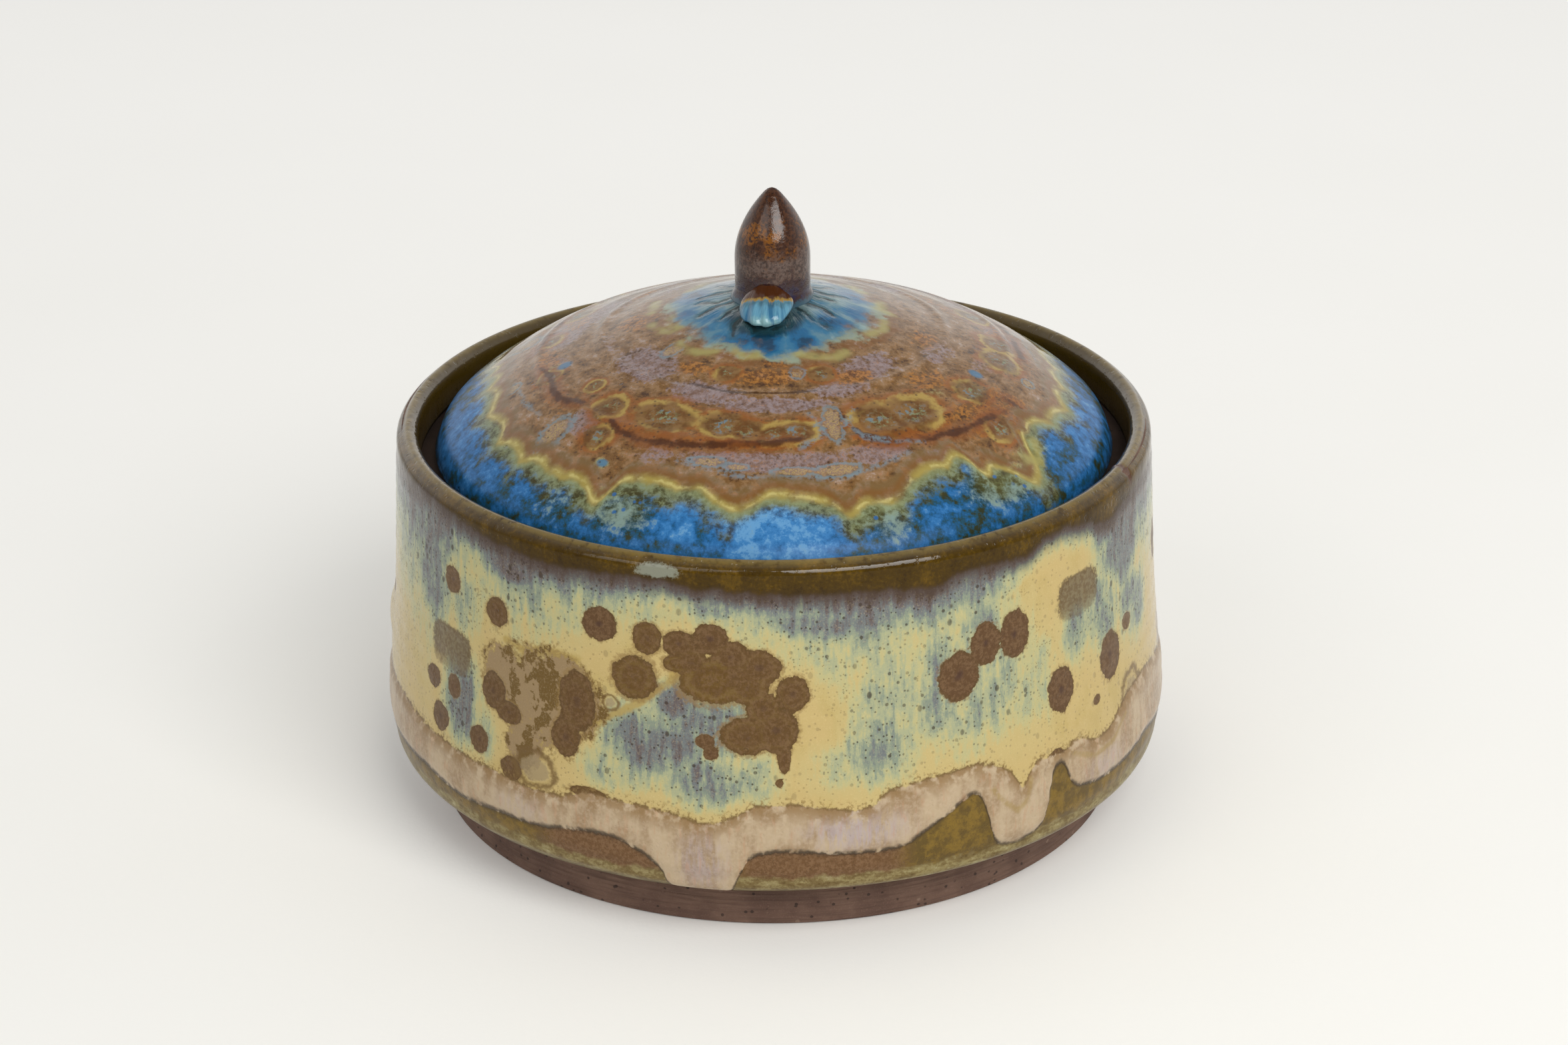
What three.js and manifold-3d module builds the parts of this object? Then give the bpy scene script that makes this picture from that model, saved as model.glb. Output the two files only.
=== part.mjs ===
// A small wheel-thrown stoneware bowl with a drop-in lid.
//
// Millimetres, +Z up. The origin is the centre of the face that the foot rests on.
// Every clay member and every coat of glaze is its own closed solid. All of them but the
// glaze drop are turned shapes around the Z axis.

import * as THREE from 'three';
import { mergeVertices } from 'three/addons/utils/BufferGeometryUtils.js';
import Module from 'manifold-3d';

const wasm = await Module();
wasm.setup();

// Driving dimensions of the bowl.
const footRadius = 55.3;
const footHeight = 9.2;
const footRingWidth = 9;
const footRecess = 4;
const footBevel = 0.8;
const glazeEdgeRadius = 61;
const bellyRadius = 63.4;
const bellyHeight = 15;
const waistRadius = 61.7;
const waistHeight = 36;
const shoulderRadius = 60.6;
const shoulderHeight = 56;
const rimHeight = 62.3;
const lipRadius = 2;
const lipCentreRadius = 58.3;
const floorHeight = 10.5;
const floorCorner = 12;

// Driving dimensions of the ledge inside the rim that carries the lid.
const galleryHeight = 55.7;
const galleryInnerRadius = 50.3;
const galleryNose = 1.5;
const galleryDepth = 4.1;

// Driving dimensions of the lid.
const lidRadius = 54;
const lidEdgeHeight = 57.3;
const lidSeatHeight = 56;
const lidShoulderRadius = 51;
const lidShoulderHeight = 62.4;
const domeTopHeight = 81.5;
const domeThickness = 4.5;
const flangeOuterRadius = 48.7;
const flangeInnerRadius = 45.5;
const flangeBottom = 48.5;
const flangeBevel = 0.8;
const undersideStep = 2;

// Driving dimensions of the finial knob and of the glaze that ran down it.
const knobRadius = 6;
const knobFoot = 81.75;
const knobShoulder = 87.5;
const knobTip = 99;
const knobTipRadius = 1.2;
const knobTipDrop = 0.6;
const knobPull = 93;
const dropHalfWidth = 4.4;
const dropHalfDepth = 1.7;
const dropHalfHeight = 2.2;
const dropCentreRadius = 6.4;
const dropCentreHeight = 82.4;
const dropTurn = THREE.MathUtils.degToRad(-98);

// Thickness of the glaze coats, and the seam kept between two solids that touch.
const glazeThickness = 0.7;
const linerThickness = 0.5;
const seam = 0.05;

// Steps around the large turned shapes and the knob, along the outlines and over the lip.
const bowlSteps = 48;
const knobSteps = 24;
const outlineSteps = 9;
const lipSteps = 6;

function point(radius, height) {
  return new THREE.Vector2(radius, height);
}

// The points of a smooth curve through a few places on the outline.
function smooth(places, steps) {
  return new THREE.SplineCurve(places).getPoints(steps);
}

// The points of an arc, from one angle to another in degrees, 0 being outward.
function arc(centre, radius, fromDegrees, toDegrees, steps) {
  const points = [];
  for (let i = 0; i <= steps; i++) {
    const turn = THREE.MathUtils.degToRad(fromDegrees + (toDegrees - fromDegrees) * i / steps);
    points.push(point(centre.x + radius * Math.cos(turn), centre.y + radius * Math.sin(turn)));
  }
  return points;
}

// A line of points moved sideways, to the left of its own direction when the distance is positive.
function offset(points, distance) {
  return points.map((here, i) => {
    const before = points[Math.max(i - 1, 0)];
    const after = points[Math.min(i + 1, points.length - 1)];
    const along = after.clone().sub(before).normalize();
    return point(here.x - along.y * distance, here.y + along.x * distance);
  });
}

// A turned solid. The outline runs anticlockwise, seen with the axis on the left.
function turned(outline, steps) {
  const geometry = new THREE.LatheGeometry(outline, steps);
  geometry.rotateX(Math.PI / 2);
  return geometry;
}

function ring(outline, steps) {
  return turned([...outline, outline[0].clone()], steps);
}

function piece(name, geometry, material) {
  const mesh = new THREE.Mesh(geometry, material);
  mesh.name = name;
  return mesh;
}

// Surfaces that several solids share.

const lipCentre = point(lipCentreRadius, rimHeight - lipRadius);

// The outside of the glazed wall, from the edge of the glaze up to the lip.
const wallSurface = smooth([
  point(glazeEdgeRadius, footHeight + seam),
  point(bellyRadius, bellyHeight),
  point(waistRadius, waistHeight),
  point(shoulderRadius, shoulderHeight),
  point(lipCentreRadius + lipRadius, rimHeight - lipRadius),
], outlineSteps);

// The inside of the clay wall, from under the gallery down to the middle of the floor.
const innerWallRadius = lipCentreRadius - lipRadius + glazeThickness;
const innerSurface = [
  point(innerWallRadius, galleryHeight - galleryDepth - seam),
  ...arc(point(innerWallRadius - floorCorner, floorHeight + floorCorner), floorCorner, 0, -90, 4),
];

// The top of the glazed lid, from its edge up to the knob.
const domeSurface = smooth([
  point(lidRadius, lidEdgeHeight),
  point(lidShoulderRadius, lidShoulderHeight),
  point(39, 70.8),
  point(21, 77.4),
  point(knobRadius, domeTopHeight),
], outlineSteps);

// The outside of the glazed knob, from its foot to its tip.
const knobPath = new THREE.Path();
knobPath.moveTo(knobRadius, knobFoot);
knobPath.lineTo(knobRadius, knobShoulder);
knobPath.quadraticCurveTo(knobRadius, knobPull, knobTipRadius, knobTip - knobTipDrop);
const knobSurface = [...knobPath.getPoints(7), point(0, knobTip)];

// Materials: a dark iron-bearing clay and four glazes.

function ceramic(colour, roughness) {
  return new THREE.MeshStandardMaterial({ color: colour, roughness, metalness: 0 });
}

const bareClay = () => ceramic(0x5c3f3a, 0.85);
const bowlGlaze = () => ceramic(0xbfae7c, 0.2);
const linerGlaze = () => ceramic(0x4a3d1e, 0.25);
const lidGlaze = () => ceramic(0x6f5a45, 0.15);
const knobGlaze = () => ceramic(0x5a3520, 0.12);
const dropGlaze = () => ceramic(0x7fb4c4, 0.1);

// The bowl.

function jarBody() {
  const plugRadius = footRadius - footRingWidth - seam;
  const outline = [
    point(0, footRecess),
    point(plugRadius, footRecess),
    point(plugRadius, footHeight + seam),
    ...offset(wallSurface, glazeThickness),
    ...arc(lipCentre, lipRadius - glazeThickness, 0, 180, lipSteps).slice(1),
    ...innerSurface,
    point(0, floorHeight),
  ];
  return piece('jar_body', turned(outline, bowlSteps), bareClay());
}

function footRing() {
  const innerRadius = footRadius - footRingWidth;
  const outline = [
    point(innerRadius + footBevel, 0),
    point(footRadius - footBevel, 0),
    point(footRadius, footBevel),
    point(footRadius, footHeight),
    point(innerRadius, footHeight),
    point(innerRadius, footBevel),
  ];
  return piece('foot_ring', ring(outline, bowlSteps), bareClay());
}

function lidGallery() {
  const outerRadius = innerWallRadius - seam;
  const outline = [
    point(galleryInnerRadius, galleryHeight - galleryNose),
    point(outerRadius, galleryHeight - galleryDepth),
    point(outerRadius, galleryHeight),
    point(galleryInnerRadius, galleryHeight),
  ];
  return piece('lid_gallery', ring(outline, bowlSteps), bareClay());
}

// The glaze coats the wall, rolls over the lip and runs down inside to the gallery.
function outerGlaze() {
  const clayLip = lipRadius - glazeThickness + seam;
  const insideBottom = galleryHeight + seam;
  const outline = [
    ...wallSurface,
    ...arc(lipCentre, lipRadius, 0, 180, lipSteps).slice(1),
    point(lipCentre.x - lipRadius, insideBottom),
    point(lipCentre.x - clayLip, insideBottom),
    ...arc(lipCentre, clayLip, 180, 0, lipSteps),
    ...offset(wallSurface, glazeThickness - seam).reverse().slice(1),
  ];
  return piece('outer_glaze', ring(outline, bowlSteps), bowlGlaze());
}

function linerCoat() {
  const clayDown = offset(innerSurface, -seam);
  const faceDown = offset(innerSurface, -seam - linerThickness);
  const outline = [
    point(0, floorHeight + seam),
    ...clayDown.reverse(),
    ...faceDown,
    point(0, floorHeight + seam + linerThickness),
  ];
  return piece('liner_glaze', turned(outline, bowlSteps), linerGlaze());
}

// The lid.

function lidDome() {
  const clayTop = offset(domeSurface, glazeThickness);
  const underside = offset(domeSurface, domeThickness).filter((place) => place.x < flangeInnerRadius);
  const edgeRadius = lidRadius - glazeThickness;
  const outline = [
    point(0, underside.at(-1).y),
    ...underside.reverse(),
    point(flangeInnerRadius, lidEdgeHeight + undersideStep),
    point(flangeInnerRadius, lidSeatHeight),
    point(edgeRadius, lidSeatHeight),
    ...clayTop,
    point(0, clayTop.at(-1).y),
  ];
  return piece('lid_dome', turned(outline, bowlSteps), bareClay());
}

function lidFlange() {
  const top = lidSeatHeight - seam;
  const outline = [
    point(flangeInnerRadius + flangeBevel, flangeBottom),
    point(flangeOuterRadius - flangeBevel, flangeBottom),
    point(flangeOuterRadius, flangeBottom + flangeBevel),
    point(flangeOuterRadius, top),
    point(flangeInnerRadius + seam, top),
    point(flangeInnerRadius + seam, flangeBottom + flangeBevel),
  ];
  return piece('lid_flange', ring(outline, bowlSteps), bareClay());
}

function lidCoat() {
  const clayUp = offset(domeSurface, glazeThickness - seam);
  const outline = [...domeSurface, ...clayUp.reverse()];
  return piece('lid_glaze', ring(outline, bowlSteps), lidGlaze());
}

// The knob.

function knob() {
  const clayUp = offset(knobSurface, glazeThickness);
  const foot = clayUp[0].clone().setY(domeTopHeight - glazeThickness + 2 * seam);
  const outline = [
    point(0, foot.y),
    foot,
    ...clayUp.slice(1, -1),
    point(0, knobTip - glazeThickness),
  ];
  return piece('knob', turned(outline, knobSteps), bareClay());
}

function knobCoat() {
  const clayUp = offset(knobSurface, glazeThickness - seam).slice(0, -1);
  const outline = [
    point(0, knobTip - glazeThickness + seam),
    ...clayUp.reverse(),
    ...knobSurface,
  ];
  return piece('knob_glaze', turned(outline, knobSteps), knobGlaze());
}

// The glaze drop: a flattened bead that hugs the foot of the knob and sits on the lid.

function solidFrom(geometry) {
  const bare = geometry.clone();
  bare.deleteAttribute('normal');
  bare.deleteAttribute('uv');
  const merged = mergeVertices(bare);
  const mesh = new wasm.Mesh({
    numProp: 3,
    vertProperties: new Float32Array(merged.attributes.position.array),
    triVerts: new Uint32Array(merged.index.array),
  });
  return new wasm.Manifold(mesh);
}

function geometryFrom(solid) {
  const mesh = solid.getMesh();
  const geometry = new THREE.BufferGeometry();
  geometry.setAttribute('position', new THREE.BufferAttribute(mesh.vertProperties, 3));
  geometry.setIndex(new THREE.BufferAttribute(mesh.triVerts, 1));
  geometry.computeVertexNormals();
  return geometry;
}

// The lid and knob, filled solid and grown by the seam, as the shape the drop must stay out of.
function dropSeat() {
  const lidTop = offset(domeSurface, -seam);
  const lidOutline = [
    point(0, lidSeatHeight),
    point(lidRadius, lidSeatHeight),
    ...lidTop,
    point(0, lidTop.at(-1).y),
  ];
  const knobSide = offset(knobSurface, -seam);
  const knobOutline = [
    point(0, lidSeatHeight),
    point(knobSide[0].x, lidSeatHeight),
    ...knobSide.slice(1, -1),
    point(0, knobTip),
  ];
  return solidFrom(turned(lidOutline, bowlSteps)).add(solidFrom(turned(knobOutline, knobSteps)));
}

function glazeDrop() {
  const bead = new THREE.SphereGeometry(1, 20, 12);
  bead.scale(dropHalfDepth, dropHalfWidth, dropHalfHeight);
  bead.translate(dropCentreRadius, 0, dropCentreHeight);
  bead.rotateZ(dropTurn);
  return piece('glaze_drop', geometryFrom(solidFrom(bead).subtract(dropSeat())), dropGlaze());
}

export default new THREE.Group().add(
  jarBody(),
  footRing(),
  lidGallery(),
  outerGlaze(),
  linerCoat(),
  lidDome(),
  lidFlange(),
  lidCoat(),
  knob(),
  knobCoat(),
  glazeDrop(),
);
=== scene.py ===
"""A lidded stoneware bowl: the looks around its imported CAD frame.

Sizes are in millimetres until a mesh is made. A turn is an angle around the bowl's axis in
degrees: -90 faces the camera, 0 is to its right. Patterns are placed on the glaze by turn
and height (on the wall) or by turn and radius (on the lid), stored on the mesh as soft
fields, and sharpened by the node materials.
"""
import math

import bmesh
import bpy
import numpy as np
from mathutils import Matrix, Vector


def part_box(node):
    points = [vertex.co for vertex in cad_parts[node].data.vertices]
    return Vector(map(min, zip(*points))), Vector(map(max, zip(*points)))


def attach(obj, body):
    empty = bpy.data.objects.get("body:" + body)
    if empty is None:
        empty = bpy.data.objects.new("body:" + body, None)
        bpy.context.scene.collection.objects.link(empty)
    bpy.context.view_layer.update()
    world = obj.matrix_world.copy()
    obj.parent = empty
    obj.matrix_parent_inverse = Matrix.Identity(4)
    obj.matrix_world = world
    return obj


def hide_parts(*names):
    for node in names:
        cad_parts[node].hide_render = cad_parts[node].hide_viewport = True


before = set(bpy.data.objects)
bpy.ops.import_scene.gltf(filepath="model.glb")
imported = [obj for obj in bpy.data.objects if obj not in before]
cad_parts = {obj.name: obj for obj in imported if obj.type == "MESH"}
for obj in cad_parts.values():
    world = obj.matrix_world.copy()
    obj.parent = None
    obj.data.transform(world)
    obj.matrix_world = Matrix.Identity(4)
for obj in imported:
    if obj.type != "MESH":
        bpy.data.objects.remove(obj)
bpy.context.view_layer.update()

MM = 0.001
WARM_WHITE = (1.0, 0.99, 0.975, 1.0)
rng = np.random.default_rng(7)

# ---------------------------------------------------------------- dimensions

# The bowl, its foot and its gallery
FOOT_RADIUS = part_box("foot_ring")[1].x / MM
FOOT_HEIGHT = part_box("foot_ring")[1].z / MM
FOOT_RING_WIDTH = 9.0
FOOT_RECESS = 4.0
RIM_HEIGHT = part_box("outer_glaze")[1].z / MM
LIP_RADIUS = 2.0
LIP_CENTRE = 58.3
LIP_CENTRE_HEIGHT = RIM_HEIGHT - LIP_RADIUS
GLAZE = 0.7
SEAM = 0.05
GALLERY_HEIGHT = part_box("lid_gallery")[1].z / MM
GALLERY_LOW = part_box("lid_gallery")[0].z / MM
GALLERY_INNER = 50.3
INNER_WALL = LIP_CENTRE - LIP_RADIUS + GLAZE
FLOOR_HEIGHT = 10.5
FLOOR_CORNER = 12.0
LINER = 0.5
# The lid and its locating ring
LID_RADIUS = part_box("lid_glaze")[1].x / MM
LID_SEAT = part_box("lid_dome")[0].z / MM
DOME_THICKNESS = 4.5
FLANGE_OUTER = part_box("lid_flange")[1].x / MM
FLANGE_INNER = 45.5
FLANGE_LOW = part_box("lid_flange")[0].z / MM
# The knob, and the drop of glaze at its foot
KNOB_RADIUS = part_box("knob_glaze")[1].x / MM
KNOB_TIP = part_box("knob_glaze")[1].z / MM
KNOB_FOOT = 81.0
KNOB_SHOULDER = 87.5
KNOB_PULL = 93.0
DROP_TURN = -97.0
DROP_TOP = 85.1
DROP_REACH = 6.3
DROP_FALL = 4.2

# Outside of the wall and top of the dome, as (radius, height)
WALL_PLACES = [(61.0, 9.3), (63.4, 15.0), (61.7, 36.0), (60.6, 56.0), (60.3, LIP_CENTRE_HEIGHT)]
DOME_PLACES = [(LID_RADIUS, 57.3), (51.0, 62.4), (39.0, 70.8), (21.0, 77.4), (6.0, 81.5)]


# ------------------------------------------------------------------ outlines

def smooth(places, count):
    """Evenly spaced points of a smooth curve through the places."""
    places = np.array(places, float)
    last = len(places) - 1
    points = []
    for t in np.linspace(0, last, 40 * last + 1):
        i = min(int(t), last - 1)
        w = t - i
        before, here = places[max(i - 1, 0)], places[i]
        there, after = places[i + 1], places[min(i + 2, last)]
        leave, arrive = (there - before) / 2, (after - here) / 2
        cubic = 2 * (here - there) + leave + arrive
        square = 3 * (there - here) - 2 * leave - arrive
        points.append(((cubic * w + square) * w + leave) * w + here)
    points = np.array(points)
    steps = np.hypot(*np.diff(points, axis=0).T)
    length = np.concatenate([[0], np.cumsum(steps)])
    even = np.linspace(0, length[-1], count)
    return np.c_[np.interp(even, length, points[:, 0]), np.interp(even, length, points[:, 1])]


def arc(centre, radius, start, end, count):
    """Points of an arc in the outline's plane, in degrees, 0 being away from the axis."""
    turn = np.radians(np.linspace(start, end, count))
    return np.c_[centre[0] + radius * np.cos(turn), centre[1] + radius * np.sin(turn)]


def line(start, end, count):
    """Evenly spaced points of a straight line."""
    return np.linspace(start, end, count)


def offset(points, distance):
    """The points moved to the left of the way they run."""
    along = np.gradient(points, axis=0)
    along /= np.linalg.norm(along, axis=1, keepdims=True)
    return points + distance * np.c_[-along[:, 1], along[:, 0]]


def soft(value, low, high):
    """0 below low, 1 above high, smooth between. low may be the larger."""
    t = np.clip((value - low) / (high - low), 0, 1)
    return t * t * (3 - 2 * t)


def turn_gap(turn, centre):
    """How far a turn is from another, in degrees, the short way round."""
    return (turn - centre + 180) % 360 - 180


def wavy(places, turn, blur=0.7):
    """A rounded line around the bowl through (turn, value) places, closed on itself."""
    places = sorted(places)
    step = 0.25
    even = np.arange(-180, 180, step)
    values = np.interp(even, [p[0] for p in places], [p[1] for p in places], period=360)
    reach = range(-12, 13)
    weights = [math.exp(-((k * step / blur) ** 2)) for k in reach]
    values = sum(w * np.roll(values, k) for k, w in zip(reach, weights)) / sum(weights)
    return np.interp(turn, even, values, period=360)


def ripple(turn, height, seed, size=10.0, count=9):
    """A gentle unevenness in -1..1 that closes on itself around the axis."""
    local = np.random.default_rng(seed)
    total = np.zeros_like(turn)
    weight = 0.0
    for k in range(count):
        waves = local.integers(1, 3 + 2 * k)
        lean = local.uniform(-1, 1) / size
        phase = local.uniform(0, 2 * math.pi)
        share = 1 / (1 + k)
        total += share * np.sin(np.radians(turn) * waves + height * lean + phase)
        weight += share
    return total / weight


# ------------------------------------------------------------------- meshes

def turned(name, outline, steps, move=None):
    """A closed mesh turned around the axis.

    The outline runs up on the outside of the piece. If it starts and ends on the axis it
    closes there; otherwise it closes on itself. move takes turn, radius and height arrays
    and returns how far the outside swells along its normal, and how far every point goes up.
    """
    outline = np.array(outline, float)
    capped = outline[0, 0] < 1e-6 and outline[-1, 0] < 1e-6
    rows = outline[1:-1] if capped else outline
    if capped:
        along = np.gradient(outline, axis=0)[1:-1]
    else:
        along = np.roll(rows, -1, 0) - np.roll(rows, 1, 0)
    along /= np.linalg.norm(along, axis=1, keepdims=True) + 1e-12
    turn = np.linspace(-180, 180, steps, endpoint=False)
    shape = (len(rows), steps)
    turns = np.broadcast_to(turn, shape)
    radius = np.broadcast_to(rows[:, :1], shape).copy()
    height = np.broadcast_to(rows[:, 1:], shape).copy()
    if move:
        out, up = move(turns, radius.copy(), height.copy())
        out = out * np.clip(4 * along[:, 1:], 0, 1)
        radius += out * along[:, 1:]
        height += up - out * along[:, :1]
    angle = np.radians(turns)
    points = np.stack([radius * np.cos(angle), radius * np.sin(angle), height], -1)
    points = points.reshape(-1, 3)
    index = np.arange(len(points)).reshape(shape)
    right = np.roll(index, -1, 1)
    quads = np.stack([index[:-1], right[:-1], right[1:], index[1:]], -1).reshape(-1, 4)
    faces = quads.tolist()
    if capped:
        ends = np.array([[0, 0, outline[0, 1]], [0, 0, outline[-1, 1]]])
        points = np.vstack([points, ends])
        low, high = len(points) - 2, len(points) - 1
        faces += [[low, b, a] for a, b in zip(index[0], right[0])]
        faces += [[high, a, b] for a, b in zip(index[-1], right[-1])]
    else:
        faces += np.stack([index[-1], right[-1], right[0], index[0]], -1).tolist()
    return mesh_object(name, points, faces)


def mesh_object(name, points, faces):
    """A smooth-shaded object from points in millimetres."""
    mesh = bpy.data.meshes.new(name)
    mesh.from_pydata((np.asarray(points) * MM).tolist(), [], faces)
    mesh.validate()
    mesh.shade_smooth()
    obj = bpy.data.objects.new(name, mesh)
    bpy.context.scene.collection.objects.link(obj)
    return obj


def places_of(obj):
    """Turn in degrees, and radius and height in millimetres, of every point of a mesh."""
    points = np.empty(len(obj.data.vertices) * 3)
    obj.data.vertices.foreach_get("co", points)
    points = points.reshape(-1, 3) / MM
    turn = np.degrees(np.arctan2(points[:, 1], points[:, 0]))
    return turn, np.hypot(points[:, 0], points[:, 1]), points[:, 2]


def store(obj, **fields):
    """Saves soft fields on the mesh for its material to read."""
    for name, values in fields.items():
        layer = obj.data.attributes.new(name, "FLOAT", "POINT")
        layer.data.foreach_set("value", np.asarray(values, np.float32))


def finish_piece(obj, body, node, material):
    """Dresses a piece, ties it to its body and lets it stand for its CAD node."""
    obj.data.materials.append(material)
    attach(obj, body)
    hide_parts(node)


# --------------------------------------------------------- material building

def srgb(text):
    """A linear colour from a hex sRGB one."""
    parts = [int(text[i:i + 2], 16) / 255 for i in (0, 2, 4)]
    return tuple(c / 12.92 if c <= 0.04045 else ((c + 0.055) / 1.055) ** 2.4 for c in parts) + (1.0,)


class Value:
    """The output of a node: a number or a colour. Arithmetic on it, and its methods, add nodes."""

    def __init__(self, glaze, socket):
        self.glaze = glaze
        self.socket = socket

    def __add__(self, other):
        return self.glaze.math("ADD", self, other)

    def __sub__(self, other):
        return self.glaze.math("SUBTRACT", self, other)

    def __rsub__(self, other):
        return self.glaze.math("SUBTRACT", other, self)

    def __mul__(self, other):
        return self.glaze.math("MULTIPLY", self, other)

    def __truediv__(self, other):
        return self.glaze.math("DIVIDE", self, other)

    __radd__ = __add__
    __rmul__ = __mul__

    def ramp(self, low, high):
        """0 at low, 1 at high, smooth between. low may be the larger."""
        ends = (low, high, 0.0, 1.0) if low < high else (high, low, 1.0, 0.0)
        made = self.glaze.node("ShaderNodeMapRange", self, *ends, interpolation_type="SMOOTHSTEP")
        return Value(self.glaze, made.outputs[0])

    def bell(self, centre, width):
        """1 at the centre, 0 a width away on either side."""
        return self.glaze.math("ABSOLUTE", self - centre).ramp(width, 0.0)

    def sway(self, amount):
        """A noise turned into a shift of about half the amount either way."""
        return (self - 0.5) * amount

    def between(self, first, second):
        """The first colour where this is 0, the second where it is 1."""
        made = self.glaze.node("ShaderNodeMix", self, data_type="RGBA")
        self.glaze.link(first, made.inputs[6])
        self.glaze.link(second, made.inputs[7])
        return Value(self.glaze, made.outputs[2])

    def two_tone(self, low, high, first, second):
        """The first colour where this is below low, the second where it is above high."""
        return self.ramp(low, high).between(first, second)

    def lay(self, strength, over):
        """Lays another colour over this one."""
        self.socket = strength.between(self, over).socket

    def colours(self, stops):
        """A colour picked along a row of (position, hex) stops."""
        made = self.glaze.node("ShaderNodeValToRGB", self)
        ramp = made.color_ramp
        ramp.interpolation = "EASE"
        while len(ramp.elements) < len(stops):
            ramp.elements.new(0.5)
        for element, (position, text) in zip(ramp.elements, stops):
            element.position = position
            element.color = srgb(text)
        return Value(self.glaze, made.outputs[0])


class Glaze:
    """A node material under construction. Its methods return Values; lengths are in mm."""

    def __init__(self, name):
        self.material = bpy.data.materials.new(name)
        self.material.use_nodes = True
        self.tree = self.material.node_tree
        self.tree.nodes.clear()
        self.seed = 0.0
        place = self.node("ShaderNodeTexCoord").outputs["Object"]
        scale = self.node("ShaderNodeVectorMath", operation="SCALE")
        self.tree.links.new(place, scale.inputs[0])
        scale.inputs["Scale"].default_value = 1 / MM
        self.place = Value(self, scale.outputs[0])
        split = self.node("ShaderNodeSeparateXYZ", self.place)
        self.x, self.y, self.height = [Value(self, socket) for socket in split.outputs]
        self.radius = self.math("SQRT", self.x * self.x + self.y * self.y)

    def node(self, kind, *inputs, **settings):
        """A new node with its settings made and its first inputs linked or set."""
        made = self.tree.nodes.new(kind)
        for key, value in settings.items():
            setattr(made, key, value)
        for value, socket in zip(inputs, made.inputs):
            self.link(value, socket)
        return made

    def link(self, value, socket):
        """Feeds an input with a Value, a hex colour or a number."""
        if isinstance(value, Value):
            self.tree.links.new(value.socket, socket)
        else:
            socket.default_value = srgb(value) if isinstance(value, str) else value

    def math(self, operation, *inputs):
        """One arithmetic node, by its Blender name."""
        return Value(self, self.node("ShaderNodeMath", *inputs, operation=operation).outputs[0])

    def top(self, a, b):
        """The larger of two values."""
        return self.math("MAXIMUM", a, b)

    def field(self, name):
        """A soft field that the mesh carries."""
        return Value(self, self.node("ShaderNodeAttribute", attribute_name=name).outputs["Fac"])

    def polar(self, around, outward):
        """Coordinates that follow the turn and the radius, for rays and rings on the lid."""
        parts = (self.x / self.radius * around, self.y / self.radius * around, self.radius * outward)
        return Value(self, self.node("ShaderNodeCombineXYZ", *parts).outputs[0])

    def stretched(self, size, tall, place=None):
        """Coordinates for a pattern of this size, drawn out along the axis, unlike the last ones."""
        self.seed += 17.3
        made = self.node("ShaderNodeMapping", place or self.place)
        made.inputs["Scale"].default_value = (1 / size, 1 / size, 1 / (size * tall))
        made.inputs["Location"].default_value = (self.seed, self.seed / 2, -self.seed)
        return Value(self, made.outputs[0])

    def noise(self, size, tall=1.0, detail=3.0, rough=0.55, place=None):
        """Cloudy noise in 0..1, of this size."""
        made = self.node("ShaderNodeTexNoise", self.stretched(size, tall, place))
        made.inputs["Scale"].default_value = 1.0
        made.inputs["Detail"].default_value = detail
        made.inputs["Roughness"].default_value = rough
        return Value(self, made.outputs[0])

    def specks(self, size, share, dot=0.3, tall=1.0):
        """Scattered dots: share of the cells that hold one, dot is its radius in cells."""
        cells = self.node("ShaderNodeTexVoronoi", self.stretched(size, tall))
        cells.inputs["Scale"].default_value = 1.0
        split = self.node("ShaderNodeSeparateColor", Value(self, cells.outputs["Color"]))
        chosen = Value(self, split.outputs[0]).ramp(1 - share, 1 - share + 0.05)
        return Value(self, cells.outputs["Distance"]).ramp(dot, dot * 0.6) * chosen

    def finish(self, colour, roughness, relief, specular=0.5, glow=0.0):
        """Ends the material. relief is a height in millimetres."""
        bump = self.node("ShaderNodeBump")
        bump.inputs["Strength"].default_value = 1.0
        bump.inputs["Distance"].default_value = MM
        self.link(relief, bump.inputs["Height"])
        shader = self.node("ShaderNodeBsdfPrincipled")
        self.link(colour, shader.inputs["Base Color"])
        self.link(roughness, shader.inputs["Roughness"])
        self.tree.links.new(bump.outputs[0], shader.inputs["Normal"])
        self.link(specular, shader.inputs["Specular IOR Level"])
        shader.inputs["Emission Color"].default_value = WARM_WHITE
        self.link(glow, shader.inputs["Emission Strength"])
        out = self.node("ShaderNodeOutputMaterial")
        self.tree.links.new(shader.outputs[0], out.inputs[0])
        return self.material


# ------------------------------------------------- the pattern on the wall

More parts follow.
